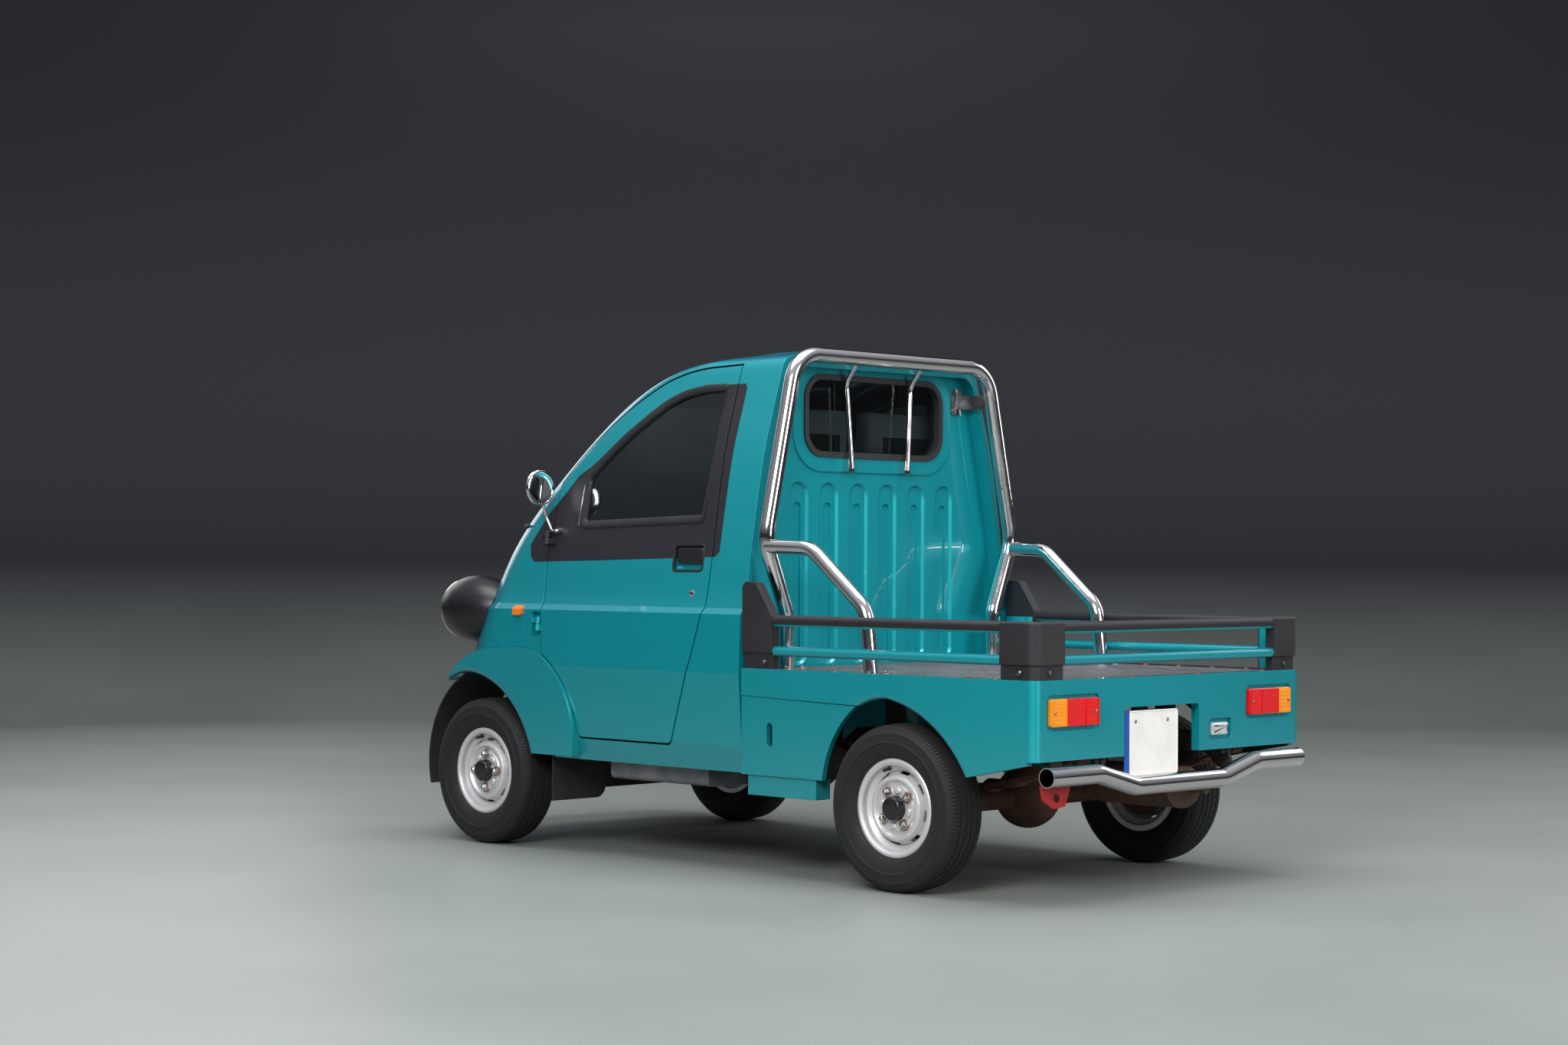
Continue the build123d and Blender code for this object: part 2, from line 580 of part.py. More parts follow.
BUMPER_HALF = 560
BUMPER_RADIUS = 150
BUMPER_BOW = 45
BUMPER_DEPTH = 28
BUMPER_Z = (252, 348)
BUMPER_END_Y = HOUSE_Y - HOUSE_RADIUS - 14
BUMPER_DRAWN_Y = -1100   # the bar is drawn this far back and then cut off in front of the wheel house
with BuildPart() as front_bumper:
    with BuildSketch(Plane.XY.offset(BUMPER_Z[0])) as bar:
        with BuildLine():
            corner_y = FRONT_END_Y + BUMPER_BOW
            Polyline((BUMPER_HALF, corner_y), (BUMPER_HALF, BUMPER_DRAWN_Y), (-BUMPER_HALF, BUMPER_DRAWN_Y),
                     (-BUMPER_HALF, corner_y))
            ThreePointArc((-BUMPER_HALF, corner_y), (0, FRONT_END_Y), (BUMPER_HALF, corner_y))
        make_face()
        fillet(bar.vertices().group_by(Axis.Y)[0], BUMPER_RADIUS)
        offset(amount=-BUMPER_DEPTH, mode=Mode.SUBTRACT)
    extrude(amount=BUMPER_Z[1] - BUMPER_Z[0])
    with Locations((0, BUMPER_END_Y + 500, BUMPER_Z[0])):
        Box(2000, 1000, 1000, mode=Mode.SUBTRACT)
    # arms from the bar back to the rails
    arm_front_y = FRONT_END_Y + 35
    for side in SIDES:
        with Locations((side * RAIL_X, (RAIL_FRONT_Y + arm_front_y) / 2, BUMPER_Z[0] + 22)):
            Box(30, RAIL_FRONT_Y - arm_front_y, 34)
save(front_bumper.part, "front_bumper")

# ---------------------------------------------------------------- cabin fittings
WHEEL_X = -270           # right-hand drive
COLUMN_TOP = (WHEEL_X, -500, 985)
COLUMN_AXIS = (0, 0.6, 0.8)
COLUMN_LENGTH = 410
STEERING_RADIUS = 190
COLUMN_RADIUS = 19
with BuildPart() as steering_column:
    with BuildSketch(Plane(origin=COLUMN_TOP, z_dir=COLUMN_AXIS).offset(-24 - RUNNING_GAP)):
        Circle(COLUMN_RADIUS)
    extrude(amount=-COLUMN_LENGTH)
save(steering_column.part, "steering_column")

DASH_HALF = 540
DASH_WIDE_Y = DOOR_FRONT_Y - SHUT_GAP - 5     # in front of the doors the dash reaches the side walls
with BuildPart() as dashboard:
    with BuildSketch(Plane.YZ.offset(-DASH_HALF)) as dash_side:
        with BuildLine():
            Polyline((-900, 930), (-640, 952), (-610, 925), (-630, 800), (-760, 770), (-900, 790), close=True)
        make_face()
        fillet(dash_side.vertices().group_by(Axis.X)[-1], 12)
    extrude(amount=2 * DASH_HALF)
    with Locations((0, (-900 + DASH_WIDE_Y) / 2, 860)):
        Box(1300, DASH_WIDE_Y + 900, 120)
    add(cab_form(CAB_UPPER, CAB_WALL + SEAT_GAP, False) + cab_form(CAB_LOWER, CAB_WALL + SEAT_GAP, True),
        mode=Mode.INTERSECT)
    with BuildSketch(Plane(origin=COLUMN_TOP, z_dir=COLUMN_AXIS)):
        Circle(COLUMN_RADIUS + SEAT_GAP)
    extrude(amount=-COLUMN_LENGTH - 40, mode=Mode.SUBTRACT)
save(dashboard.part, "dashboard")

with BuildPart() as steering_wheel:
    rim_plane = Plane(origin=COLUMN_TOP, x_dir=(1, 0, 0), z_dir=COLUMN_AXIS)
    with BuildSketch(rim_plane.offset(-24)):
        Circle(34)
    extrude(amount=34)
    with BuildSketch(rim_plane.offset(-12)):
        Rectangle(2 * STEERING_RADIUS, 34)
        with Locations((0, -STEERING_RADIUS / 2)):
            Rectangle(34, STEERING_RADIUS)
    extrude(amount=8)
    with BuildSketch(Plane(origin=COLUMN_TOP, x_dir=(1, 0, 0), z_dir=rim_plane.y_dir)):
        with Locations((STEERING_RADIUS, 8)):
            Circle(12)
    revolve(axis=Axis(COLUMN_TOP, COLUMN_AXIS))
save(steering_wheel.part, "steering_wheel")

SEAT_X = 225
SEAT_WIDTH = 400
SEAT_FRONT_Y = -500
SEAT_BACK_Y = 30
SEAT_REAR_Y = REAR_WALL_Y - CAB_WALL - 20
CUSHION_TOP_Z = 730
SEAT_HIGH_Z = 1440
with BuildPart() as seats:
    for side in SIDES:
        with BuildSketch(Plane.YZ.offset(side * SEAT_X - SEAT_WIDTH / 2)) as seat_side:
            Polygon((SEAT_FRONT_Y, SEAT_BOX_TOP_Z), (SEAT_REAR_Y, SEAT_BOX_TOP_Z), (SEAT_REAR_Y, SEAT_HIGH_Z),
                    (SEAT_REAR_Y - 85, SEAT_HIGH_Z), (SEAT_BACK_Y - 60, CUSHION_TOP_Z),
                    (SEAT_FRONT_Y, CUSHION_TOP_Z + 12), align=None)
            fillet(seat_side.vertices().group_by(Axis.Y)[-1], 30)
        extrude(amount=SEAT_WIDTH)
save(seats.part, "seats")

with BuildPart() as interior_mirror:
    with BuildSketch(Plane.XY.offset(1460)):
        with Locations((0, -392)):
            Circle(6)
    extrude(amount=100)
    add(cab_form(CAB_UPPER, CAB_WALL + SEAT_GAP, False), mode=Mode.INTERSECT)
    with Locations((0, -400, 1440)):
        Box(210, 16, 62)
save(interior_mirror.part, "interior_mirror")

# ---------------------------------------------------------------- bed
DECK_HALF = BED_HALF - BED_PANEL
FOOT = 96                # square foot plates of the roll bar stand in holes through the deck
FOOT_GAP = 1
ROLL_BAR_Y = 275
ROLL_BAR_RADIUS = 24
ROLL_FOOT_X = 481
HOOP_X = 540
HOOP_FOOT_Y = 680
HOOP_RADIUS = 22
with BuildPart() as deck_floor:
    with BuildSketch(Plane.XY.offset(DECK_TOP_Z - DECK_SHEET)):
        with Locations((0, (BED_FRONT_Y + TAIL_Y - TAIL_PANEL) / 2)):
            Rectangle(2 * DECK_HALF, TAIL_Y - TAIL_PANEL - BED_FRONT_Y)
        for side in SIDES:
            with Locations((side * ROLL_FOOT_X, ROLL_BAR_Y + 8), (side * HOOP_X, HOOP_FOOT_Y)):
                Rectangle(FOOT + 2 * FOOT_GAP, FOOT - 20 + 2 * FOOT_GAP, mode=Mode.SUBTRACT)
    extrude(amount=DECK_SHEET)
save(deck_floor.part, "deck_floor")

BED_REAR_LOW_Z = 393
ARCH_LIP_RADIUS = 15
with BuildSketch() as bed_side_outline:
    with BuildLine():
        Polyline((BED_FRONT_Y, SEAM_Z), (BED_FRONT_Y, BED_TOP_Z), (TAIL_Y - TAIL_PANEL, BED_TOP_Z),
                 (TAIL_Y - TAIL_PANEL, BED_REAR_LOW_Z - 5), (1113, 343))
        ThreePointArc((1113, 343), (1000, 470), (812, 549))
        ThreePointArc((812, 549), (760, 543), (712, SEAM_Z - 12))
        Line((712, SEAM_Z - 12), (BED_FRONT_Y, SEAM_Z))
    make_face()
def rolled_arch(panel):
    """A side panel with the outer edge of its wheel arch rounded."""
    outer_face = panel.faces().sort_by(Axis.X)[-1]
    return fillet(outer_face.edges().filter_by(GeomType.CIRCLE), ARCH_LIP_RADIUS)


bed_side = rolled_arch(across(bed_side_outline.sketch, BED_HALF - BED_PANEL, BED_HALF))
bed_sides = bed_side + mirrored(bed_side)
save(bed_sides, "bed_sides")

COVER_GAP = 0.8
COVER_TOP_Z = SEAM_Z - 14
with BuildSketch() as side_cover_outline:
    with BuildLine():
        Polyline((700, COVER_TOP_Z), (BED_FRONT_Y, SEAM_Z - COVER_GAP), (BED_FRONT_Y, ARCH_LOW_Z), (567, ARCH_LOW_Z))
        ThreePointArc((567, ARCH_LOW_Z), (612, 430), (700, COVER_TOP_Z))
    make_face()
    with Locations((350, 424)):
        SlotOverall(71, 24, rotation=90, mode=Mode.SUBTRACT)
side_cover = across(side_cover_outline.sketch, BED_HALF - 20, BED_HALF - 2)
side_covers = side_cover + mirrored(side_cover)
save(side_covers, "side_covers")

with BuildPart() as step_boxes:
    for side in SIDES:
        with Locations((side * 592, 397, ARCH_LOW_Z - 30)):
            Box(60, 282, 60)
save(step_boxes.part, "step_boxes")

TAIL_LOW_Z = 398
LAMP_UNIT_X = (361, 567)
LAMP_UNIT_Z = (492, 569)
LAMP_POCKET = 7
LAMP_PROUD = 9
PLATE_OPENING_X = (-118, 235)
PLATE_OPENING_Z = 535
PLATE_LAMP_POCKET = 12
PLATE_SIZE = (250, 184)
PLATE_X = 105
PLATE_Z = 432
PLATE_Y = 1362
PLATE_CARRIER_Y = 1320.3
with BuildPart() as tail_panel:
    with BuildSketch(Plane.XY.offset(TAIL_LOW_Z)) as tail_plan:
        with Locations((0, TAIL_Y - TAIL_PANEL / 2)):
            Rectangle(2 * BED_HALF, TAIL_PANEL)
        fillet(tail_plan.vertices().group_by(Axis.Y)[-1], TAIL_PANEL - 2)
    extrude(amount=BED_TOP_Z - TAIL_LOW_Z)
    # the number plate's opening, the lamps' pockets and the plate lamp's pocket
    with BuildSketch(Plane.XZ.offset(-TAIL_Y + 50)):
        with Locations(((PLATE_OPENING_X[0] + PLATE_OPENING_X[1]) / 2, PLATE_OPENING_Z - 150)):
            RectangleRounded(PLATE_OPENING_X[1] - PLATE_OPENING_X[0], 300, 14)
    extrude(amount=-100, mode=Mode.SUBTRACT)
    with BuildSketch(Plane.XZ.offset(-TAIL_Y + LAMP_POCKET)):
        for side in SIDES:
            with Locations((side * sum(LAMP_UNIT_X) / 2, sum(LAMP_UNIT_Z) / 2)):
                RectangleRounded(LAMP_UNIT_X[1] - LAMP_UNIT_X[0] + 24, LAMP_UNIT_Z[1] - LAMP_UNIT_Z[0] + 20, 16)
    extrude(amount=-50, mode=Mode.SUBTRACT)
    with BuildSketch(Plane.XZ.offset(-TAIL_Y + PLATE_LAMP_POCKET)):
        with Locations((-222, 457)):
            RectangleRounded(110, 62, 12)
    extrude(amount=-50, mode=Mode.SUBTRACT)
save(tail_panel.part, "tail_panel")

with BuildPart() as number_plate:
    with BuildSketch(Plane.XZ.offset(-PLATE_Y)):
        with Locations((PLATE_X, PLATE_Z)):
            RectangleRounded(*PLATE_SIZE, 10)
    extrude(amount=-2)
    # carrier down from the last bearer
    with Locations((PLATE_X, (PLATE_CARRIER_Y + PLATE_Y) / 2, PLATE_Z + 60)):
        Box(60, PLATE_Y - PLATE_CARRIER_Y, 40)
    with Locations((PLATE_X, PLATE_CARRIER_Y + 4, (PLATE_Z + 40 + DECK_TOP_Z - DECK_SHEET - 6) / 2)):
        Box(60, 8, DECK_TOP_Z - DECK_SHEET - 6 - PLATE_Z - 40)
save(number_plate.part, "number_plate")

with BuildPart() as tail_lamps:
    for side in SIDES:
        with BuildSketch(Plane.XZ.offset(-TAIL_Y + LAMP_POCKET)) as unit:
            with Locations((side * sum(LAMP_UNIT_X) / 2, sum(LAMP_UNIT_Z) / 2)):
                RectangleRounded(LAMP_UNIT_X[1] - LAMP_UNIT_X[0], LAMP_UNIT_Z[1] - LAMP_UNIT_Z[0], 8)
        extrude(amount=-LAMP_POCKET - LAMP_PROUD)
    fillet(tail_lamps.edges().group_by(Axis.Y)[-1], 4)
save(tail_lamps.part, "tail_lamps")

# ---------------------------------------------------------------- rails, posts, roll bar
POST_Y = (234, 358)
REAR_POST_Y = 1240
UPPER_RAIL_Z = 763
UPPER_RAIL_RADIUS = 17
LOWER_RAIL_Z = 673
LOWER_RAIL_RADIUS = 15
RAIL_LINE_X = 611
REAR_RAIL_Y = TAIL_Y - 18
REAR_POST_X = 500
POST_SHEET = 34
FOOT_TOP_Z = 662          # below this a post steps in to its foot
FOOT_STEP = 7
POST_TOP_Z = 780
POST_TOP_RADIUS = 8
with BuildSketch() as fin_outline:
    Polygon((POST_Y[0], BED_TOP_Z), (POST_Y[1], BED_TOP_Z), (POST_Y[1], 777), (POST_Y[0] + 56, 876),
            (POST_Y[0] + 12, 879), (POST_Y[0], 864), align=None)
    fillet(fin_outline.vertices().group_by(Axis.Y)[-1], 12)
    fillet(fin_outline.vertices().sort_by(Axis.X)[-1], 14)
with BuildPart() as corner_posts:
    outer_x = BED_HALF - 1
    inner_x = outer_x - POST_SHEET
    with BuildPart(mode=Mode.PRIVATE) as fin:
        add(across(fin_outline.sketch, inner_x, outer_x))
        with BuildSketch(Plane.XZ.offset(-POST_Y[0])):
            Polygon((outer_x, FOOT_TOP_Z + FOOT_STEP), (outer_x - FOOT_STEP, FOOT_TOP_Z),
                    (outer_x - FOOT_STEP, BED_TOP_Z), (outer_x, BED_TOP_Z), align=None)
        extrude(amount=-(POST_Y[1] - POST_Y[0]), mode=Mode.SUBTRACT)
    with BuildPart(mode=Mode.PRIVATE) as wrap:
        outer_y = TAIL_Y - 1
        inner_y = outer_y - POST_SHEET
        with BuildSketch(Plane.XY.offset(BED_TOP_Z)) as post_plan:
            Polygon((outer_x, REAR_POST_Y), (outer_x, outer_y), (REAR_POST_X, outer_y), (REAR_POST_X, inner_y),
                    (inner_x, inner_y), (inner_x, REAR_POST_Y), align=None)
            fillet(post_plan.vertices().group_by(Axis.Y)[-1].sort_by(Axis.X)[-1], 30)
        extrude(amount=POST_TOP_Z - BED_TOP_Z)
        fillet(wrap.edges().group_by(Axis.Z)[-1], POST_TOP_RADIUS)
        # the foot keeps the plan drawn in from both outer faces
        with BuildSketch(Plane.XY.offset(BED_TOP_Z)) as foot_plan:
            Polygon((outer_x + 50, REAR_POST_Y - 50), (outer_x + 50, outer_y + 50), (REAR_POST_X - 50, outer_y + 50),
                    (REAR_POST_X - 50, outer_y - FOOT_STEP), (outer_x - FOOT_STEP, outer_y - FOOT_STEP),
                    (outer_x - FOOT_STEP, REAR_POST_Y - 50), align=None)
            fillet(foot_plan.vertices().sort_by_distance((outer_x, outer_y))[0], 23)
        extrude(amount=FOOT_TOP_Z - BED_TOP_Z, mode=Mode.SUBTRACT)
    for post in (fin.part, wrap.part):
        add(post)
        add(mirrored(post))
save(corner_posts.part, "corner_posts")


def deck_rails(z, radius):
    with BuildPart() as rails:
        for side in SIDES:
            with BuildSketch(Plane.XZ.offset(-POST_Y[1])):
                with Locations((side * RAIL_LINE_X, z)):
                    Circle(radius)
            extrude(amount=-(REAR_POST_Y - POST_Y[1]))
        with BuildSketch(Plane.YZ.offset(-REAR_POST_X)):
            with Locations((REAR_RAIL_Y, z)):
                Circle(radius)
        extrude(amount=2 * REAR_POST_X)
    return rails.part


save(deck_rails(UPPER_RAIL_Z, UPPER_RAIL_RADIUS), "upper_rails")
save(deck_rails(LOWER_RAIL_Z, LOWER_RAIL_RADIUS), "lower_rails")

ROLL_BAR_PATH = [(ROLL_FOOT_X, DECK_TOP_Z), (ROLL_FOOT_X, 780), (573, 1003), (445, 1573)]
ROLL_BAR_BENDS = [60, 150, 110]
STAY_PLATE_X = 394
STAY_Z = 1463
STAY_SHEET = 6
STAY_HEIGHT = 45


def roll_bar_tube(radius):
    with BuildPart() as tube:
        with BuildLine(Plane.XZ.offset(-ROLL_BAR_Y)) as path:
            right = [(-x, z) for x, z in reversed(ROLL_BAR_PATH)]
            FilletPolyline(*ROLL_BAR_PATH, *right, radius=ROLL_BAR_BENDS + ROLL_BAR_BENDS[::-1])
        with BuildSketch(Plane.XY.offset(DECK_TOP_Z)):
            with Locations((ROLL_FOOT_X, ROLL_BAR_Y)):
                Circle(radius)
        sweep(path=path.wire())
    return tube.part


with BuildPart() as roll_bar:
    add(roll_bar_tube(ROLL_BAR_RADIUS))
    for side in SIDES:
        with Locations((side * ROLL_FOOT_X, ROLL_BAR_Y + 8, DECK_TOP_Z - DECK_SHEET / 2)):
            Box(FOOT, FOOT - 20, DECK_SHEET)
        # stay: a strap from the upright to a plate on the cab's rear wall
        plate_front_y = REAR_WALL_Y + SEAT_GAP
        with Locations((side * STAY_PLATE_X, plate_front_y + STAY_SHEET / 2, STAY_Z)):
            Box(50, STAY_SHEET, 86)
        with BuildSketch(Plane.XY.offset(STAY_Z - STAY_HEIGHT / 2)):
            Polygon((side * 398, plate_front_y + 2), (side * 406, plate_front_y + 2), (side * 466, ROLL_BAR_Y - 13),
                    (side * 458, ROLL_BAR_Y - 13), align=None)
        extrude(amount=STAY_HEIGHT)
save(roll_bar.part, "roll_bar")

with BuildPart() as side_hoops:
    for side in SIDES:
        with BuildLine() as hoop_path:
            FilletPolyline((side * 566, ROLL_BAR_Y, 985), (side * 546, 440, 980), (side * HOOP_X, HOOP_FOOT_Y - 22, 800),
                           (side * HOOP_X, HOOP_FOOT_Y, DECK_TOP_Z), radius=[90, 90])
        with BuildSketch(Plane(origin=hoop_path.line @ 0, z_dir=hoop_path.line % 0)):
            Circle(HOOP_RADIUS)
        sweep(path=hoop_path.wire())
        with Locations((side * HOOP_X, HOOP_FOOT_Y, DECK_TOP_Z - DECK_SHEET / 2)):
            Box(FOOT, FOOT - 20, DECK_SHEET)
    add(roll_bar_tube(ROLL_BAR_RADIUS + SEAT_GAP), mode=Mode.SUBTRACT)
save(side_hoops.part, "side_hoops")

GUARD_X = 130
GUARD_TOP_X = 150
GUARD_RADIUS = 8
GUARD_LOW_Y = 212
GUARD_PAD_Z = (1222, 1262)
with BuildPart() as window_guards:
    for side in SIDES:
        with BuildLine() as guard_path:
            FilletPolyline((side * GUARD_TOP_X, ROLL_BAR_Y - 17, 1569), (side * GUARD_TOP_X, 205, 1500),
                           (side * GUARD_X, GUARD_LOW_Y, GUARD_PAD_Z[0] + 10), radius=[60])
        with BuildSketch(Plane(origin=guard_path.line @ 0, z_dir=guard_path.line % 0)):
            Circle(GUARD_RADIUS)
        sweep(path=guard_path.wire())
        with Locations((side * GUARD_X, (REAR_WALL_Y + SURROUND_DEPTH + GUARD_LOW_Y) / 2, sum(GUARD_PAD_Z) / 2)):
            Box(26, GUARD_LOW_Y - REAR_WALL_Y - SURROUND_DEPTH, GUARD_PAD_Z[1] - GUARD_PAD_Z[0])
    add(roll_bar_tube(ROLL_BAR_RADIUS + SEAT_GAP), mode=Mode.SUBTRACT)
save(window_guards.part, "window_guards")

# ---------------------------------------------------------------- rear end
BUMPER_TUBE = 28
BUMPER_TUBE_Y = REAR_END_Y - BUMPER_TUBE
with BuildPart() as rear_bumper:
    with BuildLine(Plane.XZ.offset(-BUMPER_TUBE_Y)) as bar_path:
        FilletPolyline((596, 357), (372, 357), (210, 315), (-210, 315), (-372, 357), (-596, 357), radius=90)
    with BuildSketch(Plane.YZ.offset(596)):
        with Locations((BUMPER_TUBE_Y, 357)):
            Circle(BUMPER_TUBE)
            Circle(BUMPER_TUBE - 3, mode=Mode.SUBTRACT)
    sweep(path=bar_path.wire())
save(rear_bumper.part, "rear_bumper")

with BuildPart() as tow_hook:
    with BuildSketch(Plane.XZ.offset(-1345)) as hook:
        with BuildLine():
            Polyline((444, 330), (482, 345), (482, TAIL_LOW_Z), (534, TAIL_LOW_Z), (534, 345), (570, 330),
                     (560, 290), (520, 266), (470, 270), close=True)
        make_face()
        with Locations((508, 296)):
            Circle(13, mode=Mode.SUBTRACT)
    extrude(amount=10)
save(tow_hook.part, "tow_hook")

# ---------------------------------------------------------------- frame
KICK_Y = (240, 440)       # the rails rise here
# Deck bearers: y and the height their risers start from, inside the rails.
BEARERS = [(300, 310), (560, 410), (1110, 410), (1300, 410)]
BEARER_HEIGHT = 58
BEARER_WIDTH = 40
CROSS_LOW_HALF = 244
ARM_Z = 165
ARM_SHEET = 24
ARM_FOOT = 18
AXLE_TUBE = 32
SPRING_X = 365
SPRING_WIDTH = 48
LEAF = 7
SPRING_HALF = 470
SPRING_LOW_Z = TYRE_RADIUS + AXLE_TUBE + RUNNING_GAP
SPRING_HIGH_Z = 366
SPRING_EYE_Z = SPRING_HIGH_Z + 24
LEAF_SHARES = (0.34, 0.56, 0.78, 1.0)       # length of each leaf, the bottom one first
EYE_RADIUS = 14
EYE_PIN = 8
SPRING_EYES_Y = (REAR_AXLE_Y - SPRING_HALF, REAR_AXLE_Y + SPRING_HALF)
ENGINE_SIZE = (400, 430, 264)
ENGINE_CENTRE = (0, -330, RAIL_FRONT_Z + RAIL_HEIGHT + ENGINE_SIZE[2] / 2)
ENGINE_BEARERS_Y = (-480, -180)
CAB_MOUNTS_Y = (-1150, -700, 168)
BUMPER_ARM = 12
BUMPER_FACE_Y = REAR_END_Y - 2 * BUMPER_TUBE - SEAT_GAP
with BuildPart() as chassis_frame:
    for side in SIDES:
        with BuildSketch(Plane.YZ.offset(side * RAIL_X - RAIL_WIDTH / 2)):
            with BuildLine():
                low, high = RAIL_FRONT_Z, RAIL_REAR_Z
                Polyline((RAIL_FRONT_Y, low), (KICK_Y[0], low), (KICK_Y[1], high), (RAIL_REAR_Y, high),
                         (RAIL_REAR_Y, high + RAIL_HEIGHT), (KICK_Y[1] - 15, high + RAIL_HEIGHT),
                         (KICK_Y[0] - 15, low + RAIL_HEIGHT), (RAIL_FRONT_Y, low + RAIL_HEIGHT), close=True)
            make_face()
        extrude(amount=RAIL_WIDTH)
    # spring pins
    for side in SIDES:
        for eye_y in SPRING_EYES_Y:
            with BuildSketch(Plane.YZ.offset(side * RAIL_X)):
                with Locations((eye_y, SPRING_EYE_Z)):
                    Circle(EYE_PIN)
            extrude(amount=side * (SPRING_X + SPRING_WIDTH / 2 + 5 - RAIL_X))
    # rear bumper arms
    for side in SIDES:
        with BuildSketch(Plane.YZ.offset(side * RAIL_X - BUMPER_ARM / 2)):
            Polygon((RAIL_REAR_Y - 70, RAIL_REAR_Z + 20), (RAIL_REAR_Y, RAIL_REAR_Z + 20), (BUMPER_FACE_Y, 356),
                    (BUMPER_FACE_Y, 322), (RAIL_REAR_Y - 30, 340), (RAIL_REAR_Y - 70, RAIL_REAR_Z), align=None)
        extrude(amount=BUMPER_ARM)
    # cab mounts on the rails
    for side in SIDES:
        for y in CAB_MOUNTS_Y:
            with Locations((side * RAIL_X, y, (RAIL_FRONT_Z + RAIL_HEIGHT + FLOOR_Z) / 2)):
                Box(RAIL_WIDTH, 44, FLOOR_Z - RAIL_FRONT_Z - RAIL_HEIGHT)
save(chassis_frame.part, "chassis_frame")

with BuildPart() as deck_bearers:
    deck_low_z = DECK_TOP_Z - DECK_SHEET
    for y, base_z in BEARERS:
        with Locations((0, y, deck_low_z - BEARER_HEIGHT / 2)):
            Box(2 * DECK_HALF - 20, BEARER_WIDTH, BEARER_HEIGHT)
        for side in SIDES:
            with Locations((side * RAIL_X, y, (base_z + deck_low_z) / 2)):
                Box(RAIL_WIDTH, BEARER_WIDTH, deck_low_z - base_z)
    add(chassis_frame.part, mode=Mode.SUBTRACT)
save(deck_bearers.part, "deck_bearers")

RAIL_INNER_X = RAIL_X - RAIL_WIDTH / 2
with BuildPart() as crossmembers:
    with BuildSketch(Plane.XZ.offset(-FRONT_AXLE_Y + 40)):
        low, high = RAIL_FRONT_Z, RAIL_FRONT_Z + RAIL_HEIGHT - 10
        Polygon((-RAIL_INNER_X, high), (RAIL_INNER_X, high), (RAIL_INNER_X, low),
                (CROSS_LOW_HALF, ARM_Z + ARM_SHEET + 6), (CROSS_LOW_HALF, ARM_Z - 6),
                (-CROSS_LOW_HALF, ARM_Z - 6), (-CROSS_LOW_HALF, ARM_Z + ARM_SHEET + 6), (-RAIL_INNER_X, low),
                align=None)
    extrude(amount=-80)
    for y in ENGINE_BEARERS_Y:
        with Locations((0, y, RAIL_FRONT_Z + RAIL_HEIGHT - 25)):
            Box(2 * RAIL_INNER_X, 40, 50)
save(crossmembers.part, "crossmembers")

BALL_EYE = 24
with BuildPart() as front_arms:
    for side in SIDES:
        with BuildSketch(Plane.XY.offset(ARM_Z)):
            with Locations((side * STEER_X, FRONT_AXLE_Y)):
                Circle(BALL_EYE)
            foot_x = side * (CROSS_LOW_HALF + ARM_FOOT + RUNNING_GAP)
            with Locations((foot_x, FRONT_AXLE_Y - 22), (foot_x, FRONT_AXLE_Y + 22)):
                Circle(ARM_FOOT)
            make_hull()
            with Locations((side * STEER_X, FRONT_AXLE_Y)):
                Circle(10 + RUNNING_GAP, mode=Mode.SUBTRACT)
        extrude(amount=ARM_SHEET)
save(front_arms.part, "front_arms")

STRUT_RADIUS = 25
STRUT_Z = (338, STRUT_TOP_Z)
with BuildPart() as front_struts:
    for side in SIDES:
        with BuildSketch(Plane.XY.offset(STRUT_Z[0])):
            with Locations((side * STEER_X, FRONT_AXLE_Y)):
                Circle(STRUT_RADIUS)
        extrude(amount=STRUT_Z[1] - STRUT_Z[0])
        with BuildSketch(Plane.XY.offset(STRUT_Z[0])):
            with Locations((side * STEER_X, FRONT_AXLE_Y)):
                Circle(12 + RUNNING_GAP)
        extrude(amount=60, mode=Mode.SUBTRACT)
save(front_struts.part, "front_struts")


def stub(side, axle_y):
    """Stub axle with its backing plate, along X."""
    with BuildPart() as axle:
        with BuildSketch(Plane.YZ.offset(side * (HALF_TRACK - 38))):
            with Locations((axle_y, TYRE_RADIUS)):
                Circle(92)
        extrude(amount=side * 4)
        with BuildSketch(Plane.YZ.offset(side * (HALF_TRACK - 38))):
            with Locations((axle_y, TYRE_RADIUS)):
                Circle(STUB_RADIUS)
        extrude(amount=side * 70)
    return axle.part


for side, name in ((1, "left"), (-1, "right")):
    with BuildPart() as knuckle:
        add(stub(side, FRONT_AXLE_Y))
        with BuildSketch(Plane.XY.offset(ARM_Z + ARM_SHEET + 5)):
            with Locations((side * STEER_X, FRONT_AXLE_Y)):
                Circle(22)
        extrude(amount=STRUT_Z[0] - 5 - ARM_Z - ARM_SHEET - 5)
        with BuildSketch(Plane.XY.offset(ARM_Z)):
            with Locations((side * STEER_X, FRONT_AXLE_Y)):
                Circle(10)
        extrude(amount=ARM_SHEET + 5)
        with BuildSketch(Plane.XY.offset(STRUT_Z[0] - 5)):
            with Locations((side * STEER_X, FRONT_AXLE_Y)):
                Circle(12)
        extrude(amount=50)
        with Locations((side * (STEER_X + HALF_TRACK - 36) / 2, FRONT_AXLE_Y, TYRE_RADIUS)):
            Box(HALF_TRACK - 36 - STEER_X, 50, 60)
    save(knuckle.part, f"knuckle_{name}")

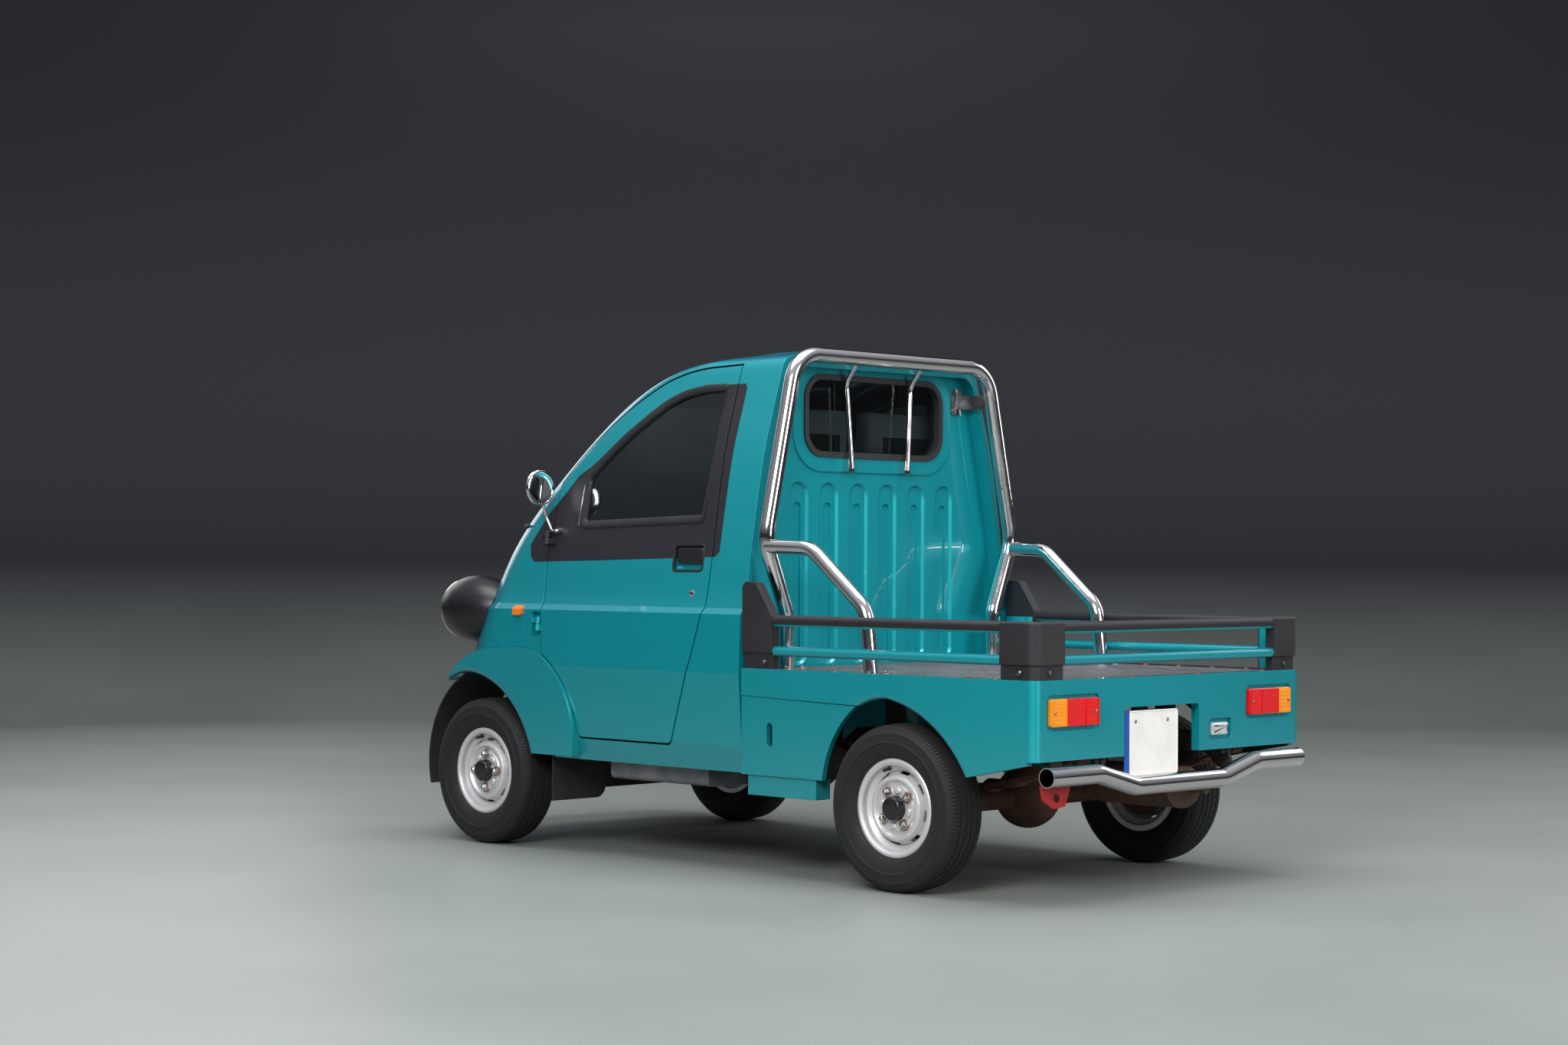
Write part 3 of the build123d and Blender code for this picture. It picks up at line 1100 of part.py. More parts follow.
DIFF_X = 25
with BuildPart() as rear_axle:
    with BuildSketch(Plane.YZ.offset(-(HALF_TRACK - 38))):
        with Locations((REAR_AXLE_Y, TYRE_RADIUS)):
            Circle(AXLE_TUBE)
    extrude(amount=2 * (HALF_TRACK - 38))
    for side in SIDES:
        add(stub(side, REAR_AXLE_Y))
    with BuildSketch(Plane.XY.offset(TYRE_RADIUS)):
        with BuildLine():
            ThreePointArc((DIFF_X - 110, REAR_AXLE_Y), (DIFF_X, REAR_AXLE_Y + 95), (DIFF_X + 110, REAR_AXLE_Y))
            Line((DIFF_X + 110, REAR_AXLE_Y), (DIFF_X - 110, REAR_AXLE_Y))
        make_face()
    revolve(axis=Axis((0, REAR_AXLE_Y, TYRE_RADIUS), (1, 0, 0)))
    with BuildSketch(Plane.XZ.offset(-REAR_AXLE_Y)):
        with Locations((DIFF_X, TYRE_RADIUS)):
            Circle(45)
    extrude(amount=150)
save(rear_axle.part, "rear_axle")

with BuildPart() as leaf_springs:
    rise = SPRING_HIGH_Z - SPRING_LOW_Z
    bend = (SPRING_HALF ** 2 + rise ** 2) / (2 * rise)
    centre = (REAR_AXLE_Y, SPRING_LOW_Z + bend)
    for side in SIDES:
        with BuildSketch(Plane.YZ.offset(side * SPRING_X - SPRING_WIDTH / 2)):
            for place, share in enumerate(LEAF_SHARES):
                reach = math.degrees(math.asin(SPRING_HALF * share / bend))
                with BuildLine():
                    low_arc = CenterArc(centre, bend - place * LEAF, -90 - reach, 2 * reach)
                    high_arc = CenterArc(centre, bend - (place + 1) * LEAF, -90 - reach, 2 * reach)
                    Line(low_arc @ 0, high_arc @ 0)
                    Line(low_arc @ 1, high_arc @ 1)
                make_face()
            for eye_y in SPRING_EYES_Y:
                with Locations((eye_y, SPRING_EYE_Z)):
                    Circle(EYE_RADIUS)
            for eye_y in SPRING_EYES_Y:
                with Locations((eye_y, SPRING_EYE_Z)):
                    Circle(EYE_PIN + RUNNING_GAP, mode=Mode.SUBTRACT)
        extrude(amount=SPRING_WIDTH)
save(leaf_springs.part, "leaf_springs")

with BuildPart() as engine:
    with Locations(ENGINE_CENTRE):
        Box(*ENGINE_SIZE)
save(engine.part, "engine")

SHAFT_END_GAP = 3.1      # along the tilted shaft, its rim then just clears the flat face
SHAFT_FRONT = (0, ENGINE_CENTRE[1] + ENGINE_SIZE[1] / 2 + SHAFT_END_GAP, 320)
SHAFT_REAR = (DIFF_X, REAR_AXLE_Y - 150, TYRE_RADIUS)
with BuildPart() as propshaft:
    with BuildLine() as shaft_line:
        Line(SHAFT_FRONT, SHAFT_REAR)
    with BuildSketch(Plane(origin=SHAFT_FRONT, z_dir=shaft_line.line % 0)):
        Circle(22)
    extrude(amount=(Vector(SHAFT_REAR) - Vector(SHAFT_FRONT)).length - SHAFT_END_GAP)
save(propshaft.part, "propshaft")

TANK_X = (348, 560)
TANK_Y = (-430, 20)
TANK_Z = (245, FLOOR_Z)
with BuildPart() as fuel_tank:
    with Locations((sum(TANK_X) / 2, sum(TANK_Y) / 2, sum(TANK_Z) / 2)):
        Box(TANK_X[1] - TANK_X[0], TANK_Y[1] - TANK_Y[0], TANK_Z[1] - TANK_Z[0])
    fillet(fuel_tank.edges().filter_by(Axis.Y), 18)
save(fuel_tank.part, "fuel_tank")

SILENCER_X = -150
with BuildPart() as exhaust:
    with BuildSketch(Plane.XZ.offset(-1010)):
        with Locations((SILENCER_X, 285)):
            Ellipse(85, 62)
    extrude(amount=-280)
    with BuildSketch(Plane.XZ.offset(-1290)):
        with Locations((SILENCER_X - 30, 285)):
            Circle(18)
    extrude(amount=-60)
    with Locations((SILENCER_X, BEARERS[2][0], (330 + DECK_TOP_Z - DECK_SHEET - BEARER_HEIGHT) / 2)):
        Box(12, 20, DECK_TOP_Z - DECK_SHEET - BEARER_HEIGHT - 330)
save(exhaust.part, "exhaust")

# ---------------------------------------------------------------- wheels
VENT_COUNT = 8
VENT_RADIUS = 101
VENT_DEPTH = 8
VENT_LENGTH = 34
REST_TURN = {"front": 0, "rear": 35}     # how far each axle's wheels stand turned, degrees
for axle, axle_y in (("front", FRONT_AXLE_Y), ("rear", REAR_AXLE_Y)):
    for side, name in ((1, "left"), (-1, "right")):
        centre = Location((side * HALF_TRACK, axle_y, TYRE_RADIUS))
        with BuildPart() as wheel:
            with BuildSketch(Plane.XY):
                with BuildLine() as rim_line:
                    seat = RIM_SEAT_RADIUS - RIM_SHEET / 2
                    Polyline((-RIM_HALF_WIDTH, RIM_FLANGE_RADIUS), (-RIM_HALF_WIDTH, seat), (-36, seat),
                             (-28, RIM_WELL_RADIUS), (22, RIM_WELL_RADIUS), (32, seat), (RIM_HALF_WIDTH, seat),
                             (RIM_HALF_WIDTH, RIM_FLANGE_RADIUS))
                    offset(amount=RIM_SHEET / 2, side=Side.BOTH)
                make_face()
            with BuildSketch(Plane.XY):
                with BuildLine() as disc_line:
                    Polyline((14, RIM_WELL_RADIUS), (26, 98), (44, 90), (46, 83), (31, 71), (42, 63), (42, 28))
                    offset(amount=DISC_SHEET / 2, side=Side.BOTH)
                make_face()
            with BuildSketch(Plane.XY):
                # brake drum and hub behind the disc
                with BuildLine():
                    Polyline((39.5, STUB_RADIUS + RUNNING_GAP), (39.5, 82), (-26, 82), (-26, 76), (30, 76),
                             (30, 34), (-24, 34), (-24, STUB_RADIUS + RUNNING_GAP), close=True)
                make_face()
            revolve(axis=Axis.X)
            with BuildSketch(Plane.YZ.offset(10)):
                with PolarLocations(VENT_RADIUS, VENT_COUNT, start_angle=REST_TURN[axle]):
                    Rectangle(VENT_DEPTH, VENT_LENGTH)
            extrude(amount=22, mode=Mode.SUBTRACT)
        with BuildPart() as tyre:
            with BuildSketch(Plane.XY):
                with BuildLine():
                    bead = RIM_HALF_WIDTH - RIM_SHEET / 2 - RUNNING_GAP
                    low = RIM_SEAT_RADIUS + RUNNING_GAP
                    Line((-bead, low), (bead, low))
                    Line((bead, low), (bead, 146))
                    ThreePointArc((bead, 146), (TYRE_WIDTH / 2, 190), (59, 230))
                    Line((59, 230), (53, 237))
                    ThreePointArc((53, 237), (0, TYRE_RADIUS), (-53, 237))
                    Line((-53, 237), (-59, 230))
                    ThreePointArc((-59, 230), (-TYRE_WIDTH / 2, 190), (-bead, 146))
                    Line((-bead, 146), (-bead, low))
                make_face()
            revolve(axis=Axis.X)
        turn = centre * Location((0, 0, 0), (0, 0, 0 if side > 0 else 180))
        save(wheel.part.moved(turn), f"wheel_{axle}_{name}")
        save(tyre.part.moved(turn), f"tyre_{axle}_{name}")
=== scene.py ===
import math

import bmesh
import bpy
from mathutils import Matrix, Vector
from mathutils.bvhtree import BVHTree


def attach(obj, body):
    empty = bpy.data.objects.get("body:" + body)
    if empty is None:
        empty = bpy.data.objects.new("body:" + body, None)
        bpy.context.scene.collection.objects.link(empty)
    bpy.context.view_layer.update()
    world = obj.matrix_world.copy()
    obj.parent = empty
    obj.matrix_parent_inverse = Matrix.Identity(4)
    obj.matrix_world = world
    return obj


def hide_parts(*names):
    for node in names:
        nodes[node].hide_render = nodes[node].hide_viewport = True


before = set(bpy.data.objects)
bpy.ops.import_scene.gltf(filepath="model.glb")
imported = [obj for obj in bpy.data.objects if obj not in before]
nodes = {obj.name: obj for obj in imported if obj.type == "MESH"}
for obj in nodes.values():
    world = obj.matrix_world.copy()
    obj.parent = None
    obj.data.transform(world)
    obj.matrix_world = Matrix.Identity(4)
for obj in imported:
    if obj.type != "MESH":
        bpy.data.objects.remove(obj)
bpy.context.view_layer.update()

# ---------------------------------------------------------------- studio
# A plain floor that curves up into a backdrop and darkens as it rises, with large soft lamps over and
# beside the truck. The camera stands off its left rear corner at about waist height.
def linear(hex_code, alpha=1.0):
    """An sRGB hex colour as the linear values Blender works in."""
    parts = [int(hex_code[start:start + 2], 16) / 255 for start in (1, 3, 5)]
    return (*[part / 12.92 if part <= 0.04045 else ((part + 0.055) / 1.055) ** 2.4 for part in parts], alpha)


def add_node(tree, kind, inputs=None, **settings):
    """Adds a node, named without its ShaderNode prefix. An input gets a value or the socket that feeds it."""
    made = tree.nodes.new("ShaderNode" + kind)
    for name, value in settings.items():
        setattr(made, name, value)
    for name, value in (inputs or {}).items():
        if isinstance(value, bpy.types.NodeSocket):
            tree.links.new(value, made.inputs[name])
        else:
            made.inputs[name].default_value = value
    return made


def start_material(name, **inputs):
    """A material with these values on its Principled shader. Returns it with its tree and shader."""
    material = bpy.data.materials.new(name)
    material.use_nodes = True
    shader = material.node_tree.nodes["Principled BSDF"]
    for key, value in inputs.items():
        shader.inputs[key.replace("_", " ")].default_value = value
    return material, material.node_tree, shader


def feed(shader, **sources):
    """Links sockets to the inputs of a shader, whose names have spaces for the underscores here."""
    for name, source in sources.items():
        shader.id_data.links.new(source, shader.inputs[name.replace("_", " ")])


def make_object(name, mesh, material, sharp=35):
    """A mesh as an object, smooth but for edges sharper than the given angle."""
    mesh.materials.append(material)
    mesh.shade_smooth()
    mesh.set_sharp_from_angle(angle=math.radians(sharp))
    made = bpy.data.objects.new(name, mesh)
    bpy.context.scene.collection.objects.link(made)
    return made


FLOOR_COLOUR = linear("#8C918C")
FLOOR_STAIN = linear("#737974")
BACKDROP_COLOUR = linear("#2B2A31")
concrete, concrete_tree, concrete_shader = start_material("sealed_floor", Roughness=0.45)
floor_place = add_node(concrete_tree, "TexCoord").outputs["Object"]
clouding = add_node(concrete_tree, "TexNoise", {"Vector": floor_place, "Scale": 0.9, "Detail": 6.0})
floor_tint = add_node(concrete_tree, "Mix", {"Factor": clouding.outputs["Fac"], "A": FLOOR_COLOUR,
                      "B": FLOOR_STAIN}, data_type="RGBA")
# the sweep darkens as it rises
floor_height = add_node(concrete_tree, "SeparateXYZ", {0: floor_place}).outputs["Z"]
rise_share = add_node(concrete_tree, "MapRange", {"Value": floor_height, "From Min": 0.02, "From Max": 0.9})
sweep_tint = add_node(concrete_tree, "Mix",
                      {"Factor": rise_share.outputs["Result"], "A": floor_tint.outputs["Result"],
                       "B": BACKDROP_COLOUR}, data_type="RGBA")
feed(concrete_shader, Base_Color=sweep_tint.outputs["Result"])
FLOOR_HALF = 16.0
FLOOR_WIDE = 24.0
SWEEP_START = 7.0
SWEEP_RADIUS = 5.0
BACKDROP_TOP = 14.0
SWEEP_STEPS = 24
sweep = bmesh.new()
sweep_line = [(-FLOOR_HALF, 0.0)]
for step in range(SWEEP_STEPS + 1):
    turn = math.pi / 2 * step / SWEEP_STEPS
    sweep_line.append((SWEEP_START + SWEEP_RADIUS * math.sin(turn), SWEEP_RADIUS * (1 - math.cos(turn))))
sweep_line.append((SWEEP_START + SWEEP_RADIUS, BACKDROP_TOP))
left, right = [[sweep.verts.new((x, run, rise)) for run, rise in sweep_line]
               for x in (-FLOOR_WIDE, FLOOR_WIDE)]
for place in range(len(sweep_line) - 1):
    sweep.faces.new((left[place], right[place], right[place + 1], left[place + 1]))
sweep_mesh = bpy.data.meshes.new("studio_floor")
sweep.to_mesh(sweep_mesh)
sweep.free()
CAMERA_AZIMUTH = math.radians(134.711)
# the sweep rises behind the truck as the camera sees it
sweep_mesh.transform(Matrix.Rotation(CAMERA_AZIMUTH, 4, "Z"))
make_object("studio_floor", sweep_mesh, concrete)

CAMERA_PLACE = Vector((6.328, 6.0502, 0.9545))
CAMERA_ELEVATION = math.radians(-0.718)
CAMERA_ROLL = math.radians(0.282)
camera_data = bpy.data.cameras.new("camera")
camera_data.lens = 62.28
camera_data.sensor_width = 36
camera_data.clip_end = 200
camera = bpy.data.objects.new("camera", camera_data)
backward = Vector((math.sin(CAMERA_AZIMUTH) * math.cos(CAMERA_ELEVATION),
                   -math.cos(CAMERA_AZIMUTH) * math.cos(CAMERA_ELEVATION), math.sin(CAMERA_ELEVATION)))
level = (-backward).cross(Vector((0, 0, 1))).normalized()
upright = level.cross(-backward)
rolled_right = math.cos(CAMERA_ROLL) * level + math.sin(CAMERA_ROLL) * upright
rolled_up = math.cos(CAMERA_ROLL) * upright - math.sin(CAMERA_ROLL) * level
aim = Matrix((rolled_right, rolled_up, backward)).transposed().to_4x4()
camera.matrix_world = Matrix.Translation(CAMERA_PLACE) @ aim
bpy.context.scene.collection.objects.link(camera)
bpy.context.scene.camera = camera
bpy.context.scene.view_settings.view_transform = "Standard"

# Columns: name, place, size across, size along, watts, what it is aimed at.
LAMPS = [
    ("overhead_softbox", (0.6, 0.6, 5.2), 5.5, 3.0, 270, (0, 0, 0.6)),
    ("left_rear_softbox", (6.2, 3.8, 4.2), 3.0, 2.6, 450, (0.3, 0.5, 0.6)),
    ("rear_strip", (-0.6, 7.0, 2.9), 1.8, 3.6, 220, (0, 0.5, 0.7)),
    ("right_fill", (-6.0, 1.5, 3.0), 3.5, 3.0, 70, (0, 0, 0.7)),
    ("front_fill", (-1.0, -6.5, 3.0), 3.5, 3.0, 60, (0, 0, 0.7)),
]
for lamp_name, place, across, along, watts, target in LAMPS:
    lamp_data = bpy.data.lights.new(lamp_name, "AREA")
    lamp_data.shape = "RECTANGLE"
    lamp_data.size = across
    lamp_data.size_y = along
    lamp_data.energy = watts
    lamp = bpy.data.objects.new(lamp_name, lamp_data)
    lamp.location = place
    lamp.rotation_euler = (Vector(target) - Vector(place)).to_track_quat("-Z", "Y").to_euler()
    bpy.context.scene.collection.objects.link(lamp)
world = bpy.data.worlds.new("studio_world")
bpy.context.scene.world = world
world.use_nodes = True
world_tree = world.node_tree
sky_height = add_node(world_tree, "SeparateXYZ", {0: add_node(world_tree, "TexCoord").outputs["Generated"]})
sky_share = add_node(world_tree, "MapRange",
                     {"Value": sky_height.outputs["Z"], "From Min": 0.05, "From Max": 0.8})
sky_tint = add_node(world_tree, "Mix", {"Factor": sky_share.outputs["Result"], "A": linear("#3C3E43"),
                    "B": linear("#E6ECF2")}, data_type="RGBA")
world_tree.links.new(sky_tint.outputs["Result"], world_tree.nodes["Background"].inputs["Color"])
world_tree.nodes["Background"].inputs["Strength"].default_value = 0.75


# ---------------------------------------------------------------- painted body
# The cab, doors, wings and bed are pressed sheet steel in a metallic teal: a base coat with aluminium
# flake under clear lacquer. A matt charcoal coat surrounds the side windows.
TEAL = linear("#00A3AB")
# painted shade: the teal turns to this darker tone where the surface faces away from view
TEAL_PAINTED_SHADE = linear("#005C7C")
CHARCOAL = linear("#1F1E26")
ROAD_DUST = linear("#7C766B")
FLAKE_PER_METRE = 900      # flake is far finer, drawn near 1 mm so that it shows
# The charcoal field's lower and upper edges, as (y, z) in metres along the side.
CHARCOAL_LOW = [(-0.806, 0.984), (-0.799, 0.951), (-0.780, 0.933), (-0.5, 0.938), (0.074, 0.952),
                (0.090, 0.968)]
CHARCOAL_HIGH = [(-0.806, 0.992), (-0.737, 1.088), (-0.664, 1.158), (-0.613, 1.212), (-0.559, 1.241),
                 (-0.504, 1.282), (-0.451, 1.325), (-0.397, 1.363), (-0.345, 1.401), (-0.292, 1.434),
                 (-0.236, 1.454), (-0.177, 1.467), (-0.117, 1.475), (-0.020, 1.488), (0.080, 1.488),
                 (0.090, 1.474)]


def dress(name, material):
    """Gives a CAD node's object a material."""
    for held in nodes[name].material_slots:
        held.material = material


CURVE_FOOT = 0.9            # below every point of an edge, where its curve has 0


def edge_height(tree, along_y, edge):
    """The height of an edge drawn as a curve over the truck's length."""
    start, end = edge[0][0], edge[-1][0]
    share = add_node(tree, "MapRange", {"Value": along_y, "From Min": start, "From Max": end})
    curve = add_node(tree, "FloatCurve", {"Value": share.outputs["Result"]})
    line = curve.mapping.curves[0]
    for y, z in edge[1:-1]:
        line.points.new((y - start) / (end - start), z - CURVE_FOOT)
    line.points[0].location = (0, edge[0][1] - CURVE_FOOT)
    line.points[-1].location = (1, edge[-1][1] - CURVE_FOOT)
    for point in line.points:
        point.handle_type = "VECTOR"
    curve.mapping.update()
    return add_node(tree, "Math", {0: curve.outputs["Value"], 1: CURVE_FOOT}, operation="ADD").outputs[0]


def painted_steel(name, charcoal=False, inward_colour=None):
    """Metallic teal lacquer, painted darker as shade where it turns from view; a charcoal field and a colour
    for inward faces where asked.
    """
    material, tree, shader = start_material(name, IOR=1.5, Coat_Roughness=0.04)
    place = add_node(tree, "TexCoord").outputs["Object"]
    parts = add_node(tree, "SeparateXYZ", {0: place})
    flake = add_node(tree, "TexVoronoi", {"Vector": place, "Scale": FLAKE_PER_METRE})
    drift = add_node(tree, "TexNoise", {"Vector": place, "Scale": 2.2, "Detail": 3.0})
    # painted shade: the teal darkens where the surface turns away from view
    facing = add_node(tree, "LayerWeight", {"Blend": 0.35})
    facing_shade = add_node(tree, "Mix", {"Factor": facing.outputs["Facing"], "A": TEAL, "B": TEAL_PAINTED_SHADE},
                     data_type="RGBA")
    sparkle = add_node(tree, "MapRange", {"Value": flake.outputs["Distance"], "From Max": 0.7, "To Min": 1.12,
                       "To Max": 0.9})
    shade = add_node(tree, "MapRange", {"Value": drift.outputs["Fac"], "To Min": 0.94, "To Max": 1.06})
    level = add_node(tree, "Math", {0: sparkle.outputs["Result"], 1: shade.outputs["Result"]},
                     operation="MULTIPLY")
    tinted = add_node(tree, "VectorMath", {0: facing_shade.outputs["Result"], "Scale": level.outputs[0]},
                      operation="SCALE")
    # road dust low on the body
    low = add_node(tree, "MapRange", {"Value": parts.outputs["Z"], "From Min": 0.28, "From Max": 0.52,
                                      "To Min": 0.17, "To Max": 0.0})
    specks = add_node(tree, "TexNoise", {"Vector": place, "Scale": 38.0, "Detail": 5.0, "Roughness": 0.7})
    dusty = add_node(tree, "Math", {0: low.outputs["Result"], 1: specks.outputs["Fac"]}, operation="MULTIPLY")
    colour = add_node(tree, "Mix", {"Factor": dusty.outputs[0], "A": tinted.outputs[0], "B": ROAD_DUST},
                      data_type="RGBA").outputs["Result"]
    gloss = add_node(tree, "MapRange",
                     {"Value": dusty.outputs[0], "From Max": 0.2, "To Min": 0.7, "To Max": 0.3})
    coat = gloss.outputs["Result"]
    roughness = add_node(tree, "MapRange",
                         {"Value": specks.outputs["Fac"], "To Min": 0.3, "To Max": 0.4}).outputs["Result"]
    metal = add_node(tree, "MapRange",
                     {"Value": dusty.outputs[0], "From Max": 0.2, "To Min": 0.38, "To Max": 0.2})
    metallic = metal.outputs["Result"]
    layers = []
    if inward_colour:
        geometry = add_node(tree, "TexCoord")
        normal = add_node(tree, "SeparateXYZ", {0: geometry.outputs["Normal"]})
        inward = add_node(tree, "Math", {0: normal.outputs["X"], 1: parts.outputs["X"]}, operation="MULTIPLY")
        inner = add_node(tree, "Math", {0: inward.outputs[0], 1: -0.12}, operation="LESS_THAN")
        layers.append((inner.outputs[0], linear(inward_colour), 0.7))
    if charcoal:
        low_edge = edge_height(tree, parts.outputs["Y"], CHARCOAL_LOW)
        high_edge = edge_height(tree, parts.outputs["Y"], CHARCOAL_HIGH)
        tests = [add_node(tree, "Math", {0: parts.outputs["Z"], 1: low_edge}, operation="GREATER_THAN"),
                 add_node(tree, "Math", {0: parts.outputs["Z"], 1: high_edge}, operation="LESS_THAN"),
                 add_node(tree, "Math", {0: parts.outputs["Y"], 1: CHARCOAL_HIGH[0][0]},
                          operation="GREATER_THAN"),
                 add_node(tree, "Math", {0: parts.outputs["Y"], 1: CHARCOAL_HIGH[-1][0]},
                          operation="LESS_THAN")]
        field = tests[0].outputs[0]
        for test in tests[1:]:
            field = add_node(tree, "Math", {0: field, 1: test.outputs[0]}, operation="MULTIPLY").outputs[0]
        layers.append((field, CHARCOAL, 0.5))
    for mask, layer_colour, layer_roughness in layers:
        colour = add_node(tree, "Mix", {"Factor": mask, "A": colour, "B": layer_colour},
                          data_type="RGBA").outputs["Result"]
        roughness = add_node(tree, "Mix",
                             {"Factor": mask, "A": roughness, "B": layer_roughness}).outputs["Result"]
        metallic = add_node(tree, "Mix", {"Factor": mask, "A": metallic, "B": 0.0}).outputs["Result"]
        coat = add_node(tree, "Mix", {"Factor": mask, "A": coat, "B": 0.0}).outputs["Result"]
    # orange peel of the lacquer, 6 mm across, and rounded pressing edges
    peel = add_node(tree, "TexNoise", {"Vector": place, "Scale": 160.0, "Detail": 2.0})
    rounded = add_node(tree, "Bevel", {"Radius": 0.0025}, samples=4)
    bump = add_node(tree, "Bump", {"Height": peel.outputs["Fac"], "Distance": 0.0002, "Strength": 0.12,
                    "Normal": rounded.outputs["Normal"]})
    feed(shader, Base_Color=colour, Roughness=roughness, Metallic=metallic, Coat_Weight=coat,
         Normal=bump.outputs["Normal"])
    return material


teal_panel = painted_steel("teal_lacquered_steel")
teal_side = painted_steel("teal_and_charcoal_steel", charcoal=True)
teal_door = painted_steel("teal_and_charcoal_door", charcoal=True, inward_colour="#3B3B3E")
dress("cab_shell", teal_side)
for door_name in ("door_left", "door_right"):
    dress(door_name, teal_door)
for panel_name in ("front_wings", "bed_sides", "side_covers", "step_boxes", "tail_panel", "lower_rails",
                   "front_bumper"):
    dress(panel_name, teal_panel)
dress("cab_floor", teal_panel)
dress("rear_wall", teal_panel)

# ---------------------------------------------------------------- glass and rubber seals
# Panes of 5 mm toughened glass with a faint green-grey tint, held in black EPDM rubber extrusions.
# The rubber is matt with a soft sheen where hands and cloths have polished it.
def skin(form, rings, round_rings=True, joined=False, capped=False):
    """Covers a run of rings, each a list of points, with faces. All rings have the same number of points."""
    rows = [[form.verts.new(point) for point in ring] for ring in rings]
    pairs = list(zip(rows, rows[1:]))
    if joined:
        pairs.append((rows[-1], rows[0]))
    count = len(rows[0])
    made = []
    for first, second in pairs:
        for place in range(count if round_rings else count - 1):
            after = (place + 1) % count
            made.append(form.faces.new((first[place], first[after], second[after], second[place])))
    if capped:
        made.append(form.faces.new(rows[0][::-1]))
        made.append(form.faces.new(rows[-1]))
    return made


def turn_form(form, profile, origin, out, steps=32):
    """Adds a shape turned about the line from origin along out. The profile is (along, radius) in mm."""
    facing = Vector(out).normalized().to_track_quat("Z", "Y").to_matrix()
    rings = []
    for along, radius in profile:
        turns = [2 * math.pi * step / steps for step in range(steps)]
        rings.append([Vector(origin)
                      + facing @ Vector((radius * math.cos(turn), radius * math.sin(turn), along))
                      for turn in turns])
    return skin(form, rings)


def tube_form(form, path, radius, steps=12, joined=False, flat=1.0):
    """Adds a tube through the points of a path; flat squeezes it along the world's X axis."""
    points = [Vector(point) for point in path]
    count = len(points)
    rings = []
    side = None
    for place, point in enumerate(points):
        before = points[(place - 1) % count] if joined or place else point
        after = points[(place + 1) % count] if joined or place < count - 1 else point
        ahead = (after - before).normalized()
        if side is None:
            side = ahead.orthogonal().normalized()
        side = (side - ahead * side.dot(ahead)).normalized()
        third = ahead.cross(side)
        ring = []
        for step in range(steps):
            turn = 2 * math.pi * step / steps
            reach = radius * (math.cos(turn) * side + math.sin(turn) * third)
            ring.append(point + Vector((reach.x * flat, reach.y, reach.z)))
        rings.append(ring)
    return skin(form, rings, joined=joined, capped=not joined)


def fit_piece(name, form, materials, body, sharp=35):
    """Makes an object from a bmesh drawn in millimetres and lets it move with a body."""
    bmesh.ops.remove_doubles(form, verts=form.verts, dist=0.002)
    bmesh.ops.dissolve_degenerate(form, edges=form.edges, dist=0.0005)
    bmesh.ops.recalc_face_normals(form, faces=form.faces)
    mesh = bpy.data.meshes.new(name)
    form.to_mesh(mesh)
    form.free()
    mesh.transform(Matrix.Scale(0.001, 4))
    first, *others = materials if isinstance(materials, list) else [materials]
    made = make_object(name, mesh, first, sharp)
    for other in others:
        mesh.materials.append(other)
    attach(made, body)
    return made


def surface_of(*names):
    """The surfaces of CAD nodes, to find where a line meets them."""
    corners, faces = [], []
    for name in names:
        mesh = nodes[name].data
        start = len(corners)
        corners += [vertex.co.copy() for vertex in mesh.vertices]
        faces += [[start + index for index in polygon.vertices] for polygon in mesh.polygons]
    return BVHTree.FromPolygons(corners, faces)


def corner_arcs(corners, radii, steps=6):
    """A closed outline of (y, z) corners in mm with each corner rounded."""
    outline = []
    count = len(corners)
    for place, radius in enumerate(radii):
        corner = Vector(corners[place])
        back = (Vector(corners[place - 1]) - corner)
        on = (Vector(corners[(place + 1) % count]) - corner)
        half = back.angle(on) / 2
        reach = min(radius / math.tan(half), back.length * 0.45, on.length * 0.45)
        start, end = corner + back.normalized() * reach, corner + on.normalized() * reach
        for step in range(steps + 1):
            share = step / steps
            outline.append(start * (1 - share) ** 2 + corner * 2 * share * (1 - share) + end * share ** 2)
    return outline


def drawn_in(outline, margin):
    """An outline of (y, z) points moved to its inner side by margin."""
    count = len(outline)
    area = sum(outline[p - 1].x * outline[p].y - outline[p].x * outline[p - 1].y for p in range(count))
    moved = []
    for place, point in enumerate(outline):
        run = (outline[(place + 1) % count] - outline[place - 1]).normalized()
        inward = Vector((-run.y, run.x)) * (1 if area > 0 else -1)
        moved.append(point + inward * margin)
    return moved


def box_corners(across, up):
    """The corners of an upright rectangle, in order."""
    return [(across[0], up[0]), (across[1], up[0]), (across[1], up[1]), (across[0], up[1])]


glass, glass_tree, glass_shader = start_material("tinted_toughened_glass", Roughness=0.03, IOR=1.5,
                                                 Base_Color=linear("#9FB0AE"), Transmission_Weight=1.0)
glass_film = add_node(glass_tree, "TexNoise", {"Vector": add_node(glass_tree, "TexCoord").outputs["Object"],
                      "Scale": 9.0, "Detail": 5.0})
# a thin uneven film of dust and wiping marks
glass_wipe = add_node(glass_tree, "MapRange", {"Value": glass_film.outputs["Fac"], "From Min": 0.4,
                                               "From Max": 0.8, "To Min": 0.015, "To Max": 0.09})
feed(glass_shader, Roughness=glass_wipe.outputs["Result"])
for pane in ("windscreen", "rear_window", "door_glass_left", "door_glass_right"):
    dress(pane, glass)

